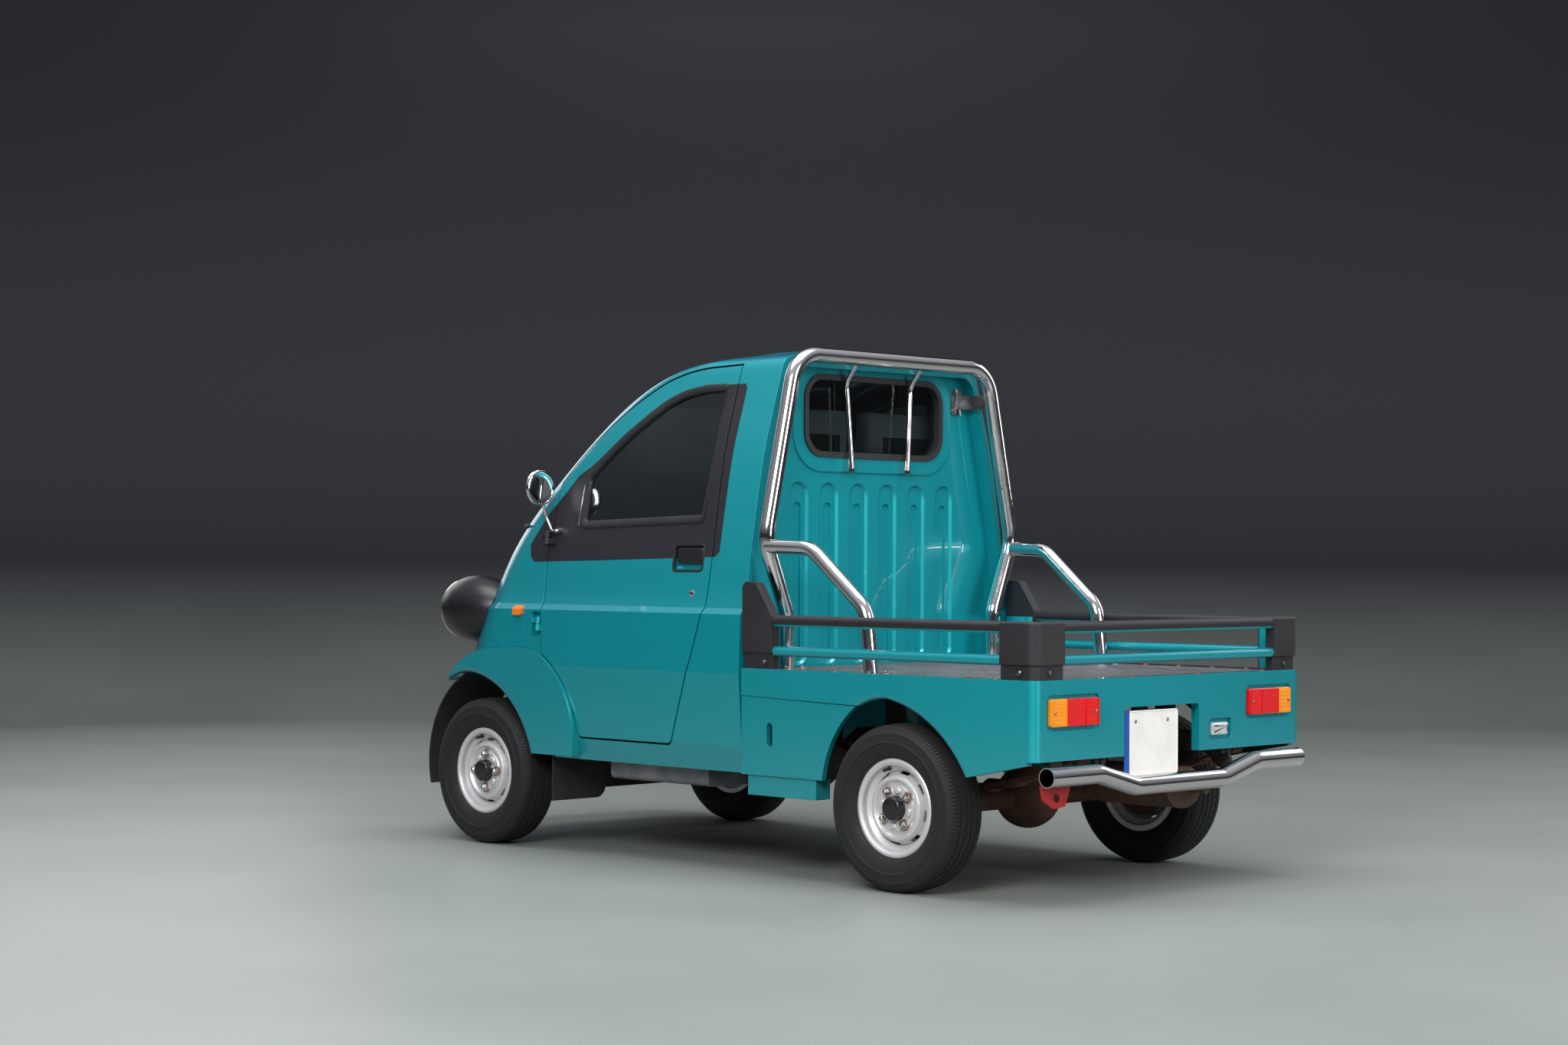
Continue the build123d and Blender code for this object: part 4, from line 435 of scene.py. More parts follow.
rubber, rubber_tree, rubber_shader = start_material("black_epdm_rubber", Roughness=0.6, IOR=1.52)
rubber_place = add_node(rubber_tree, "TexCoord").outputs["Object"]
rubber_grain = add_node(rubber_tree, "TexNoise", {"Vector": rubber_place, "Scale": 420.0, "Detail": 4.0})
rubber_cloud = add_node(rubber_tree, "TexNoise", {"Vector": rubber_place, "Scale": 12.0, "Detail": 4.0})
rubber_tint = add_node(rubber_tree, "Mix", {"Factor": rubber_cloud.outputs["Fac"], "A": linear("#131215"),
                       "B": linear("#262328")}, data_type="RGBA")
rubber_gloss = add_node(rubber_tree, "MapRange",
                        {"Value": rubber_cloud.outputs["Fac"], "To Min": 0.42, "To Max": 0.72})
rubber_bump = add_node(rubber_tree, "Bump",
                       {"Height": rubber_grain.outputs["Fac"], "Distance": 0.0003, "Strength": 0.3})
feed(rubber_shader, Base_Color=rubber_tint.outputs["Result"], Roughness=rubber_gloss.outputs["Result"],
     Normal=rubber_bump.outputs["Normal"])
dress("window_seals", rubber)

# The side light's rubber channel: a rounded lip over the door's edge and a step down to the pane.
SIDE_LIGHT = [(-250, 1429), (-325, 1383), (-400, 1332), (-478, 1270), (-551, 1203), (-554, 1066),
              (-14, 1082), (-5, 1466), (-90, 1466), (-175, 1454)]
SIDE_LIGHT_RADII = [300, 400, 400, 400, 12, 10, 4, 4, 150, 200]
SIDE_LIGHT_REAR_Y = 5.5
CHANNEL = [(-24, -1), (-25, 2.5), (-21, 4.2), (-12, 3.6), (-4, 0.8), (-1.5, -4.5), (0, -8.2), (1, -10.5)]
door_skin = surface_of("door_left", "door_glass_left")


def door_x(y, z):
    """Height of the left door's skin in mm above the middle plane, at a point given in mm."""
    hit = door_skin.ray_cast(Vector((1.0, y / 1000, z / 1000)), Vector((-1, 0, 0)))[0]
    return hit.x * 1000 if hit else 560.0


def side_x(z):
    """The door skin's half width where the window lies, which depends on the height alone."""
    return door_x(-15 if z < 1060 else 40, min(z, 1500)) if z < 1535 else 449.0


for side, hand in ((1, "left"), (-1, "right")):
    form = bmesh.new()
    outline = corner_arcs(SIDE_LIGHT, SIDE_LIGHT_RADII)
    rings = []
    for margin, rise in CHANNEL:
        rings.append([Vector((side * (side_x(point.y) + rise), min(point.x, SIDE_LIGHT_REAR_Y), point.y))
                      for point in drawn_in(outline, margin)])
    skin(form, rings)
    fit_piece(f"window_channel_{hand}", form, rubber, f"door_{hand}")

# bright metal for the headlamp reflectors, and for the painted highlight strips by the door panes
bright, bright_tree, bright_shader = start_material("bright_metal_and_painted_highlights", Metallic=1.0,
                                                    Base_Color=linear("#C9C6C8"))
bright_place = add_node(bright_tree, "TexCoord").outputs["Object"]
bright_stain = add_node(bright_tree, "TexNoise", {"Vector": bright_place, "Scale": 60.0, "Detail": 6.0})
bright_rough = add_node(bright_tree, "MapRange", {"Value": bright_stain.outputs["Fac"], "From Min": 0.35,
                                                  "From Max": 0.7, "To Min": 0.12, "To Max": 0.38})
feed(bright_shader, Roughness=bright_rough.outputs["Result"])
# Two bright strips stand each side of the run channel at the pane's front edge. They are painted highlights:
# bright metal put where the seal's outer edge and a crease ahead of it catch the light.
HIGHLIGHT_STRIP_LINES = [((-579, 1050), (-571, 1198), 3.2), ((-562, 1066), (-555, 1192), 2.4)]
for side, hand in ((1, "left"), (-1, "right")):
    form = bmesh.new()
    for low, high, radius in HIGHLIGHT_STRIP_LINES:
        path = []
        for step in range(9):
            y, z = (Vector(low).lerp(Vector(high), step / 8))
            rise = 2.0 if low[0] < -570 else -3.0
            path.append((side * (side_x(z) + rise), y, z))
        tube_form(form, path, radius, steps=8, flat=0.6)
    fit_piece(f"window_highlight_strips_{hand}", form, bright, f"door_{hand}")

# ---------------------------------------------------------------- tyres
# Radial van tyres of black carbon rubber: four zigzag grooves round the tread, a notched shoulder,
# a step ring and a plain band on the wall. Moulded, matt, with pale road dust in the low places.
AXLES = [("front", -995), ("rear", 845)]
HALF_TRACK = 568
TYRE_RADIUS = 240
PITCHES = 66
PITCH_ROWS = [0.0, 0.03, 0.11, 0.14, 0.32, 0.5, 0.53, 0.61, 0.64, 0.82]
NOTCHED_ROWS = (1, 2, 6, 7)
GROOVES = (35, 12, -12, -35)
GROOVE_HALF = 2.6
GROOVE_DEPTH = 6.5
ZIGZAG = 3.2
# One wall from the bead to the shoulder as (distance from the middle plane, radius).
WALL = [(47.7, 127.3), (48.6, 141), (54.5, 144), (60.5, 151), (65.4, 162), (68.6, 174), (70.4, 184),
        (72.9, 185.5), (73.2, 188.5), (71.6, 190), (71.4, 200), (70.0, 211), (70.6, 213.5), (69.3, 216),
        (66.6, 218.5), (63.8, 226)]


def crown(offset, drop=0.0):
    """A tread point at this offset from the middle plane, on the crown's gentle curve."""
    return offset, TYRE_RADIUS - 0.0011 * offset * offset - drop


def tyre_section(row, phase):
    """One cut through the tyre at a place in the tread's pitch, as (offset, radius) points round the ring."""
    swing = ZIGZAG * (4 * abs(phase - 0.5) - 1)
    notch = 4.5 if row in NOTCHED_ROWS else 0.0
    points = list(WALL)
    points += [(60.5, 231.5 - notch * 0.7), (55.5, 235.3 - notch), crown(49.5, notch * 0.6), crown(44)]
    for place, groove in enumerate(GROOVES):
        middle = groove + swing * (1 if place % 2 else -1)
        points += [crown(middle + GROOVE_HALF), crown(middle + GROOVE_HALF - 0.7, GROOVE_DEPTH),
                   crown(middle - GROOVE_HALF + 0.7, GROOVE_DEPTH), crown(middle - GROOVE_HALF)]
        if place < 3:
            points.append(crown((groove + GROOVES[place + 1]) / 2))
    points += [crown(-44), crown(-49.5, notch * 0.6), (-55.5, 235.3 - notch), (-60.5, 231.5 - notch * 0.7)]
    points += [(-offset, radius) for offset, radius in reversed(WALL)]
    return points


tyre_rubber, tyre_tree, tyre_shader = start_material("moulded_tyre_rubber", Roughness=0.8, IOR=1.52)
tyre_place = add_node(tyre_tree, "TexCoord").outputs["Object"]
tyre_cloud = add_node(tyre_tree, "TexNoise",
                      {"Vector": tyre_place, "Scale": 16.0, "Detail": 6.0, "Roughness": 0.65})
# mould grain near 0.5 mm, drawn at 2 mm so that it shows
tyre_grain = add_node(tyre_tree, "TexNoise", {"Vector": tyre_place, "Scale": 500.0, "Detail": 3.0})
# dust gathers where the surface turns inward
tyre_hollow = add_node(tyre_tree, "AmbientOcclusion", {"Distance": 0.006}, samples=4)
tyre_dust = add_node(tyre_tree, "MapRange", {"Value": tyre_hollow.outputs["AO"], "From Min": 0.35,
                                             "From Max": 0.95, "To Min": 0.34, "To Max": 0.04})
tyre_spread = add_node(tyre_tree, "Math", {0: tyre_dust.outputs["Result"], 1: tyre_cloud.outputs["Fac"]},
                       operation="MULTIPLY")
tyre_tint = add_node(tyre_tree, "Mix", {"Factor": tyre_spread.outputs[0], "A": linear("#0E0D10"),
                                        "B": linear("#4C463F")}, data_type="RGBA")
tyre_gloss = add_node(tyre_tree, "MapRange",
                      {"Value": tyre_cloud.outputs["Fac"], "To Min": 0.62, "To Max": 0.92})
tyre_bump = add_node(tyre_tree, "Bump",
                     {"Height": tyre_grain.outputs["Fac"], "Distance": 0.0004, "Strength": 0.35})
feed(tyre_shader, Base_Color=tyre_tint.outputs["Result"], Roughness=tyre_gloss.outputs["Result"],
     Normal=tyre_bump.outputs["Normal"])

for axle, axle_y in AXLES:
    for side, hand in ((1, "left"), (-1, "right")):
        form = bmesh.new()
        rings = []
        for pitch in range(PITCHES):
            for row, phase in enumerate(PITCH_ROWS):
                turn = 2 * math.pi * (pitch + phase) / PITCHES
                ring = []
                for offset, radius in tyre_section(row, phase):
                    ring.append(Vector((side * HALF_TRACK + offset, axle_y + radius * math.cos(turn),
                                        TYRE_RADIUS + radius * math.sin(turn))))
                rings.append(ring)
        skin(form, rings, joined=True)
        tyre = fit_piece(f"tyre_with_tread_{axle}_{hand}", form, tyre_rubber, f"wheel_{axle}_{hand}",
                         sharp=28)
        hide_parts(f"tyre_{axle}_{hand}")

# ---------------------------------------------------------------- wheels
# Pressed 4 mm steel rims and discs, welded and sprayed silver. Four chromed nuts hold each one;
# rust has run from round the nuts. A black domed plastic cap covers the hub.
NUT_CIRCLE = 55
NUT_COUNT = 4
NUT_TURNS = {"front": 0.0, "rear": math.radians(35)}
DISC_FACE = 44.5
CAP_RADIUS = 35
LOBE_RADIUS = 51
LOBE_DEPTH = 10.5
LOBE_SPREAD = 0.26
LOBE_STEPS = 28
# Columns: share of the lobe's outline, rise above the disc.
LOBE_RINGS = [(1.0, -1.0), (0.9, 3.4), (0.72, 5.0), (0.4, 5.6), (0.0, 5.8)]
VALVE_TURN = 1.9
VALVE_RADIUS = 117
VALVE_LEAN = 0.16
SILVER = linear("#DEDCDE")
# the grime colour, also laid into the hollows as painted shade
WHEEL_GRIME_AND_SHADE = linear("#5A4F4A")
WHEEL_RUST = linear("#7A4A2E")


def silver_wheel(name, axle_y, nut_turn):
    """Silver wheel enamel, stained round the nuts, and darker in the low places with grime and painted shade.
    """
    material, tree, shader = start_material(name, Metallic=0.75, Roughness=0.38)
    place = add_node(tree, "TexCoord").outputs["Object"]
    centred = add_node(tree, "VectorMath", {0: place, 1: (0, axle_y / 1000, TYRE_RADIUS / 1000)},
                       operation="SUBTRACT")
    parts = add_node(tree, "SeparateXYZ", {0: centred.outputs[0]})
    flat = add_node(tree, "CombineXYZ", {"Y": parts.outputs["Y"], "Z": parts.outputs["Z"]})
    radius = add_node(tree, "VectorMath", {0: flat.outputs[0]}, operation="LENGTH").outputs["Value"]
    # fold the four nuts' quadrants onto one
    turn = add_node(tree, "Math", {0: parts.outputs["Z"], 1: parts.outputs["Y"]},
                    operation="ARCTAN2").outputs[0]
    quarter = math.pi / 2
    shifted = add_node(tree, "Math", {0: turn, 1: nut_turn - quarter / 2}, operation="SUBTRACT").outputs[0]
    fold = add_node(tree, "Math", {0: shifted, 1: quarter}, operation="FLOORED_MODULO").outputs[0]
    away = add_node(tree, "Math", {0: fold, 1: quarter / 2}, operation="SUBTRACT").outputs[0]
    side_run = add_node(tree, "Math", {0: add_node(tree, "Math", {0: away}, operation="SINE").outputs[0],
                        1: radius}, operation="MULTIPLY").outputs[0]
    out_run = add_node(tree, "Math", {0: add_node(tree, "Math", {0: away}, operation="COSINE").outputs[0],
                       1: radius}, operation="MULTIPLY").outputs[0]
    out_run = add_node(tree, "Math", {0: out_run, 1: NUT_CIRCLE / 1000}, operation="SUBTRACT").outputs[0]
    near = add_node(tree, "VectorMath",
                    {0: add_node(tree, "CombineXYZ", {"X": side_run, "Y": out_run}).outputs[0]},
                    operation="LENGTH").outputs["Value"]
    blotch = add_node(tree, "TexNoise", {"Vector": place, "Scale": 75.0, "Detail": 7.0, "Roughness": 0.7})
    cloud = add_node(tree, "TexNoise", {"Vector": place, "Scale": 18.0, "Detail": 5.0})
    ring = add_node(tree, "MapRange",
                    {"Value": near, "From Min": 0.013, "From Max": 0.027, "To Min": 1.0, "To Max": 0.0})
    rust_field = add_node(tree, "Math", {0: ring.outputs["Result"], 1: blotch.outputs["Fac"]},
                          operation="MULTIPLY")
    rust = add_node(tree, "MapRange",
                    {"Value": rust_field.outputs[0], "From Min": 0.22, "From Max": 0.5}).outputs["Result"]
    # darker in the hollows, where shade falls: partly grime, partly painted shade
    hollow = add_node(tree, "AmbientOcclusion", {"Distance": 0.02}, samples=4)
    low = add_node(tree, "MapRange", {"Value": hollow.outputs["AO"], "From Min": 0.35, "From Max": 0.9,
                                      "To Min": 0.75, "To Max": 0.08})
    grime_and_shade = add_node(tree, "Math", {0: low.outputs["Result"], 1: cloud.outputs["Fac"]},
                     operation="MULTIPLY").outputs[0]
    base = add_node(tree, "Mix", {"Factor": grime_and_shade, "A": SILVER, "B": WHEEL_GRIME_AND_SHADE},
                    data_type="RGBA").outputs["Result"]
    stained = add_node(tree, "Mix", {"Factor": rust, "A": base, "B": WHEEL_RUST},
                       data_type="RGBA").outputs["Result"]
    metal = add_node(tree, "MapRange", {"Value": rust, "To Min": 0.5, "To Max": 0.1}).outputs["Result"]
    rough = add_node(tree, "MapRange",
                     {"Value": blotch.outputs["Fac"], "To Min": 0.3, "To Max": 0.52}).outputs["Result"]
    rounded = add_node(tree, "Bevel", {"Radius": 0.002}, samples=4)
    bump = add_node(tree, "Bump", {"Height": blotch.outputs["Fac"], "Distance": 0.0002, "Strength": 0.2,
                    "Normal": rounded.outputs["Normal"]})
    feed(shader, Base_Color=stained, Metallic=metal, Roughness=rough, Normal=bump.outputs["Normal"])
    return material


def plated(name, colour, low_rough, high_rough, spot="#6B4A35", spot_share=0.72):
    """A bright plated metal, with fine pitting where the plating has failed."""
    material, tree, shader = start_material(name, Metallic=1.0)
    place = add_node(tree, "TexCoord").outputs["Object"]
    haze = add_node(tree, "TexNoise", {"Vector": place, "Scale": 14.0, "Detail": 6.0, "Roughness": 0.6})
    pits = add_node(tree, "TexNoise", {"Vector": place, "Scale": 330.0, "Detail": 3.0, "Roughness": 0.75})
    pitted = add_node(tree, "MapRange",
                      {"Value": pits.outputs["Fac"], "From Min": spot_share, "From Max": spot_share + 0.05})
    colour_mix = add_node(tree, "Mix", {"Factor": pitted.outputs["Result"], "A": linear(colour),
                                        "B": linear(spot)}, data_type="RGBA")
    rough = add_node(tree, "MapRange", {"Value": haze.outputs["Fac"], "From Min": 0.35, "From Max": 0.7,
                     "To Min": low_rough, "To Max": high_rough})
    bump = add_node(tree, "Bump", {"Height": haze.outputs["Fac"], "Distance": 0.0004, "Strength": 0.12})
    feed(shader, Base_Color=colour_mix.outputs["Result"], Roughness=rough.outputs["Result"],
         Normal=bump.outputs["Normal"])
    return material


nut_chrome = plated("chromed_nut_steel", "#C8C2C0", 0.1, 0.28, spot_share=0.6)
cap_plastic, cap_tree, cap_shader = start_material("gloss_black_abs", Roughness=0.16, IOR=1.52)
cap_place = add_node(cap_tree, "TexCoord").outputs["Object"]
cap_wear = add_node(cap_tree, "TexNoise", {"Vector": cap_place, "Scale": 30.0, "Detail": 6.0})
cap_rough = add_node(cap_tree, "MapRange", {"Value": cap_wear.outputs["Fac"], "From Min": 0.4,
                                            "From Max": 0.75, "To Min": 0.1, "To Max": 0.4})
cap_tint = add_node(cap_tree, "Mix", {"Factor": cap_wear.outputs["Fac"], "A": linear("#0E0E11"),
                                      "B": linear("#2A282C")}, data_type="RGBA")
feed(cap_shader, Roughness=cap_rough.outputs["Result"], Base_Color=cap_tint.outputs["Result"])

for axle, axle_y in AXLES:
    nut_turn = NUT_TURNS[axle]
    wheel_enamel = silver_wheel(f"silver_wheel_enamel_{axle}", axle_y, nut_turn)
    for side, hand in ((1, "left"), (-1, "right")):
        dress(f"wheel_{axle}_{hand}", wheel_enamel)
        form = bmesh.new()
        for place in range(NUT_COUNT):
            turn = nut_turn + place * math.pi / 2
            foot = Vector((side * (HALF_TRACK + DISC_FACE), axle_y + NUT_CIRCLE * math.cos(turn),
                           TYRE_RADIUS + NUT_CIRCLE * math.sin(turn)))
            # pressed seat, then a six-sided nut with a rounded crown
            turn_form(form, [(-1, 14), (1.4, 13), (2.0, 10.5)], foot, (side, 0, 0), 24)
            turn_form(form, [(1, 10.8), (11, 10.8), (13.5, 9.2), (16.5, 6), (18, 0)], foot, (side, 0, 0), 6)
        fit_piece(f"wheel_nuts_{axle}_{hand}", form, nut_chrome, f"wheel_{axle}_{hand}",
                  sharp=25)
        form = bmesh.new()
        hub = Vector((side * (HALF_TRACK + DISC_FACE - 3), axle_y, TYRE_RADIUS))
        turn_form(form, [(0, 30), (1, CAP_RADIUS + 2), (3, CAP_RADIUS + 2), (5, CAP_RADIUS), (22, 34),
                         (25.5, 32.5), (27.4, 29.5), (28.4, 20), (28.8, 0)], hub, (side, 0, 0), 40)
        fit_piece(f"hub_cap_{axle}_{hand}", form, cap_plastic, f"wheel_{axle}_{hand}")
        form = bmesh.new()
        for place in range(NUT_COUNT):
            # a pressed lobe stands between each pair of nuts
            turn = nut_turn + math.pi / 4 + place * math.pi / 2
            rings = []
            for share, rise in LOBE_RINGS:
                ring = []
                for step in range(LOBE_STEPS):
                    angle = 2 * math.pi * step / LOBE_STEPS
                    out = LOBE_RADIUS + LOBE_DEPTH * share * math.cos(angle)
                    around = turn + LOBE_SPREAD * share * math.sin(angle)
                    ring.append(Vector((side * (HALF_TRACK + DISC_FACE + rise),
                                        axle_y + out * math.cos(around),
                                        TYRE_RADIUS + out * math.sin(around))))
                rings.append(ring)
            skin(form, rings)
        fit_piece(f"wheel_lobes_{axle}_{hand}", form, wheel_enamel, f"wheel_{axle}_{hand}",
                  sharp=60)
        form = bmesh.new()
        turn_form(form, [(44, 124.5), (49.5, 125), (54, 128.5), (56, 133), (55.4, 138), (52.4, 141.6),
                         (49, 142.4), (47.8, 139)],
                  (side * HALF_TRACK, axle_y, TYRE_RADIUS), (side, 0, 0), 96)
        fit_piece(f"rim_roll_{axle}_{hand}", form, wheel_enamel, f"wheel_{axle}_{hand}")
        form = bmesh.new()
        stem_y, stem_z = math.cos(VALVE_TURN), math.sin(VALVE_TURN)
        foot = Vector((side * (HALF_TRACK + 24), axle_y + VALVE_RADIUS * stem_y,
                       TYRE_RADIUS + VALVE_RADIUS * stem_z))
        turn_form(form, [(0, 6.5), (10, 5.2), (13, 4.4), (21, 4.0), (22, 4.8), (33, 4.8), (34.5, 3.6),
                         (35, 0)], foot, (side, -VALVE_LEAN * stem_y, -VALVE_LEAN * stem_z), 14)
        fit_piece(f"valve_stem_{axle}_{hand}", form, rubber, f"wheel_{axle}_{hand}")

# ---------------------------------------------------------------- chromed tubes
# The roll bar, hoops, window bars and rear bumper are bent from steel tube, polished and chromed.
# The plating mirrors its surroundings, with a light haze of wiping marks and a few rust pits.
tube_chrome = plated("chromed_steel_tube", "#D6D1D2", 0.04, 0.17, spot_share=0.735)
for tube_name in ("roll_bar", "side_hoops", "window_guards", "rear_bumper"):
    dress(tube_name, tube_chrome)
fixing_steel = plated("stained_zinc_screw", "#A9A19B", 0.25, 0.5, spot="#6E4127", spot_share=0.52)


def bolt_form(form, place, out, radius, height, washer=1.5):
    """Adds a hexagon head on its washer, standing out from a surface."""
    if washer:
        turn_form(form, [(0, 0), (0, radius * 1.5), (washer, radius * 1.42), (washer, 0)], place, out, 20)
    top = washer + height
    turn_form(form, [(washer * 0.5, radius), (top - height * 0.25, radius), (top, radius * 0.8), (top, 0)],
              place, out, 6)


def dome_form(form, place, out, radius, height):
    """Adds a low domed head."""
    profile = [(0, radius)] + [(height * math.sin(step * math.pi / 12),
                                radius * math.cos(step * math.pi / 12)) for step in range(1, 7)]
    turn_form(form, profile, place, out, 18)


DECK_TOP = 616
ROLL_FOOT_X, ROLL_FOOT_Y = 481, 283
HOOP_X, HOOP_Y = 540, 680
FOOT_BOLTS = [(-36, -25), (-36, 25), (36, -25), (36, 25)]
STAY_BOLTS = [(382, 1434), (408, 1494)]
STAY_FACE_Y = 189.4
GUARD_BOLT = (130, 212, 1236)
form = bmesh.new()
for side in (1, -1):
    for step_x, step_y in FOOT_BOLTS:
        bolt_form(form, (side * ROLL_FOOT_X + step_x, ROLL_FOOT_Y + step_y, DECK_TOP), (0, 0, 1), 6.5, 6)
        bolt_form(form, (side * HOOP_X + step_x, HOOP_Y + step_y, DECK_TOP), (0, 0, 1), 6.5, 6)
    # the stay's wall plate, held by two bolts, and the window bars' lower tabs
    for x, z in STAY_BOLTS:
        bolt_form(form, (side * x, STAY_FACE_Y, z), (0, 1, 0), 7, 5)
    bolt_form(form, (side * GUARD_BOLT[0], *GUARD_BOLT[1:]), (0, 1, 0), 5, 4)
fit_piece("tube_bolts", form, fixing_steel, "chassis", sharp=25)

# ---------------------------------------------------------------- deck
# Chequer plate: 2 mm steel rolled with crossed lozenges, painted once and worn back to grey, with rust
# in the hollows and along the rim. Rusty round-head bolts hold its edge down.
def weathered(name, colours, scale, rough=(0.45, 0.8), metallic=0.2, bump=0.3, rust="#7A4528",
              rust_start=0.56, rust_top=0.66):
    """A worn finish: two tints in clouds, rust where a second noise passes its threshold, and a fine bump."""
    material, tree, shader = start_material(name, IOR=1.5)
    place = add_node(tree, "TexCoord").outputs["Object"]
    cloud = add_node(tree, "TexNoise", {"Vector": place, "Scale": scale, "Detail": 8.0, "Roughness": 0.65})
    patch = add_node(tree, "TexNoise",
                     {"Vector": place, "Scale": scale * 2.6, "Detail": 9.0, "Roughness": 0.72})
    fine = add_node(tree, "TexNoise", {"Vector": place, "Scale": scale * 30, "Detail": 4.0, "Roughness": 0.7})
    share = add_node(tree, "MapRange", {"Value": cloud.outputs["Fac"], "From Min": 0.36, "From Max": 0.64})
    tint = add_node(tree, "Mix", {"Factor": share.outputs["Result"], "A": linear(colours[0]),
                                  "B": linear(colours[1])}, data_type="RGBA")
    rusty = add_node(tree, "MapRange",
                     {"Value": patch.outputs["Fac"], "From Min": rust_start, "From Max": rust_top})
    rust_tint = add_node(tree, "Mix", {"Factor": fine.outputs["Fac"], "A": linear(rust),
                                       "B": linear("#3A2318")}, data_type="RGBA")
    colour = add_node(tree, "Mix", {"Factor": rusty.outputs["Result"], "A": tint.outputs["Result"],
                      "B": rust_tint.outputs["Result"]}, data_type="RGBA")
    gloss = add_node(tree, "MapRange", {"Value": fine.outputs["Fac"], "From Min": 0.3, "From Max": 0.7,
                     "To Min": rough[0], "To Max": rough[1]})
    metal = add_node(tree, "MapRange", {"Value": rusty.outputs["Result"], "To Min": metallic, "To Max": 0.0})
    relief = add_node(tree, "Bump", {"Height": fine.outputs["Fac"], "Distance": 0.001, "Strength": bump})
    feed(shader, Base_Color=colour.outputs["Result"], Roughness=gloss.outputs["Result"],
         Metallic=metal.outputs["Result"], Normal=relief.outputs["Normal"])
    return material


deck_steel = weathered("worn_chequer_steel", ("#66656A", "#46494D"), 9.0, rough=(0.35, 0.7), metallic=0.35,
                       bump=0.2, rust_start=0.57, rust_top=0.66)
dress("deck_floor", deck_steel)
LOZENGE_LONG = 15
LOZENGE_WIDE = 4
LOZENGE_RISE = 1.2
LOZENGE_PITCH = 31
DECK_HALF = 600
DECK_RUN = (246, 1330)
FOOT_PLATES = [(ROLL_FOOT_X, ROLL_FOOT_Y), (HOOP_X, HOOP_Y)]
FOOT_HALF_X, FOOT_HALF_Y = 62, 52


def under_a_foot(x, y):
    """Whether a place on the deck is covered by a foot plate of the roll bar or of a hoop."""
    return any(abs(abs(x) - foot_x) < FOOT_HALF_X and abs(y - foot_y) < FOOT_HALF_Y
               for foot_x, foot_y in FOOT_PLATES)


form = bmesh.new()
columns = int(2 * DECK_HALF / LOZENGE_PITCH)
rows_down = int((DECK_RUN[1] - DECK_RUN[0]) / LOZENGE_PITCH)
for column in range(columns):
    for row in range(rows_down):
        x = -DECK_HALF + (column + 0.5) * LOZENGE_PITCH
        y = DECK_RUN[0] + (row + 0.5) * LOZENGE_PITCH
        if under_a_foot(x, y):
            continue
        turn = math.radians(45 if (row + column) % 2 else -45)
        long, wide = Vector((math.cos(turn), math.sin(turn), 0)), Vector((-math.sin(turn), math.cos(turn), 0))
        middle = Vector((x, y, DECK_TOP))
        tips = [middle + long * LOZENGE_LONG, middle + wide * LOZENGE_WIDE, middle - long * LOZENGE_LONG,
                middle - wide * LOZENGE_WIDE]
        ridge = [middle + long * LOZENGE_LONG * 0.6, middle - long * LOZENGE_LONG * 0.6]
        tips = [form.verts.new(tip) for tip in tips]
        ridge = [form.verts.new(end + Vector((0, 0, LOZENGE_RISE))) for end in ridge]
        for face in ((tips[0], tips[1], ridge[0]), (tips[0], ridge[0], tips[3]),
                     (tips[2], tips[3], ridge[1]), (tips[2], ridge[1], tips[1]),
                     (tips[1], ridge[1], ridge[0]), (tips[3], ridge[0], ridge[1])):
            form.faces.new(face)
fit_piece("deck_chequer_lozenges", form, deck_steel, "chassis", sharp=60)

rusty_bolt = weathered("rusted_bolt_steel", ("#8C5233", "#5B3A2A"), 60.0, rough=(0.55, 0.9), metallic=0.3,
                       bump=0.5)
SIDE_BOLTS_X = 597
SIDE_BOLTS_Y = range(428, DECK_RUN[1], 128)
END_BOLTS_X = range(-500, 501, 125)
form = bmesh.new()
for y in SIDE_BOLTS_Y:
    for side in (1, -1):
        dome_form(form, (side * SIDE_BOLTS_X, y, DECK_TOP), (0, 0, 1), 8.5, 5)
for x in END_BOLTS_X:
    dome_form(form, (x, DECK_RUN[1] - 4, DECK_TOP), (0, 0, 1), 8.5, 5)
    dome_form(form, (x, DECK_RUN[0], DECK_TOP), (0, 0, 1), 7, 4)
fit_piece("deck_rim_bolts", form, rusty_bolt, "chassis", sharp=50)

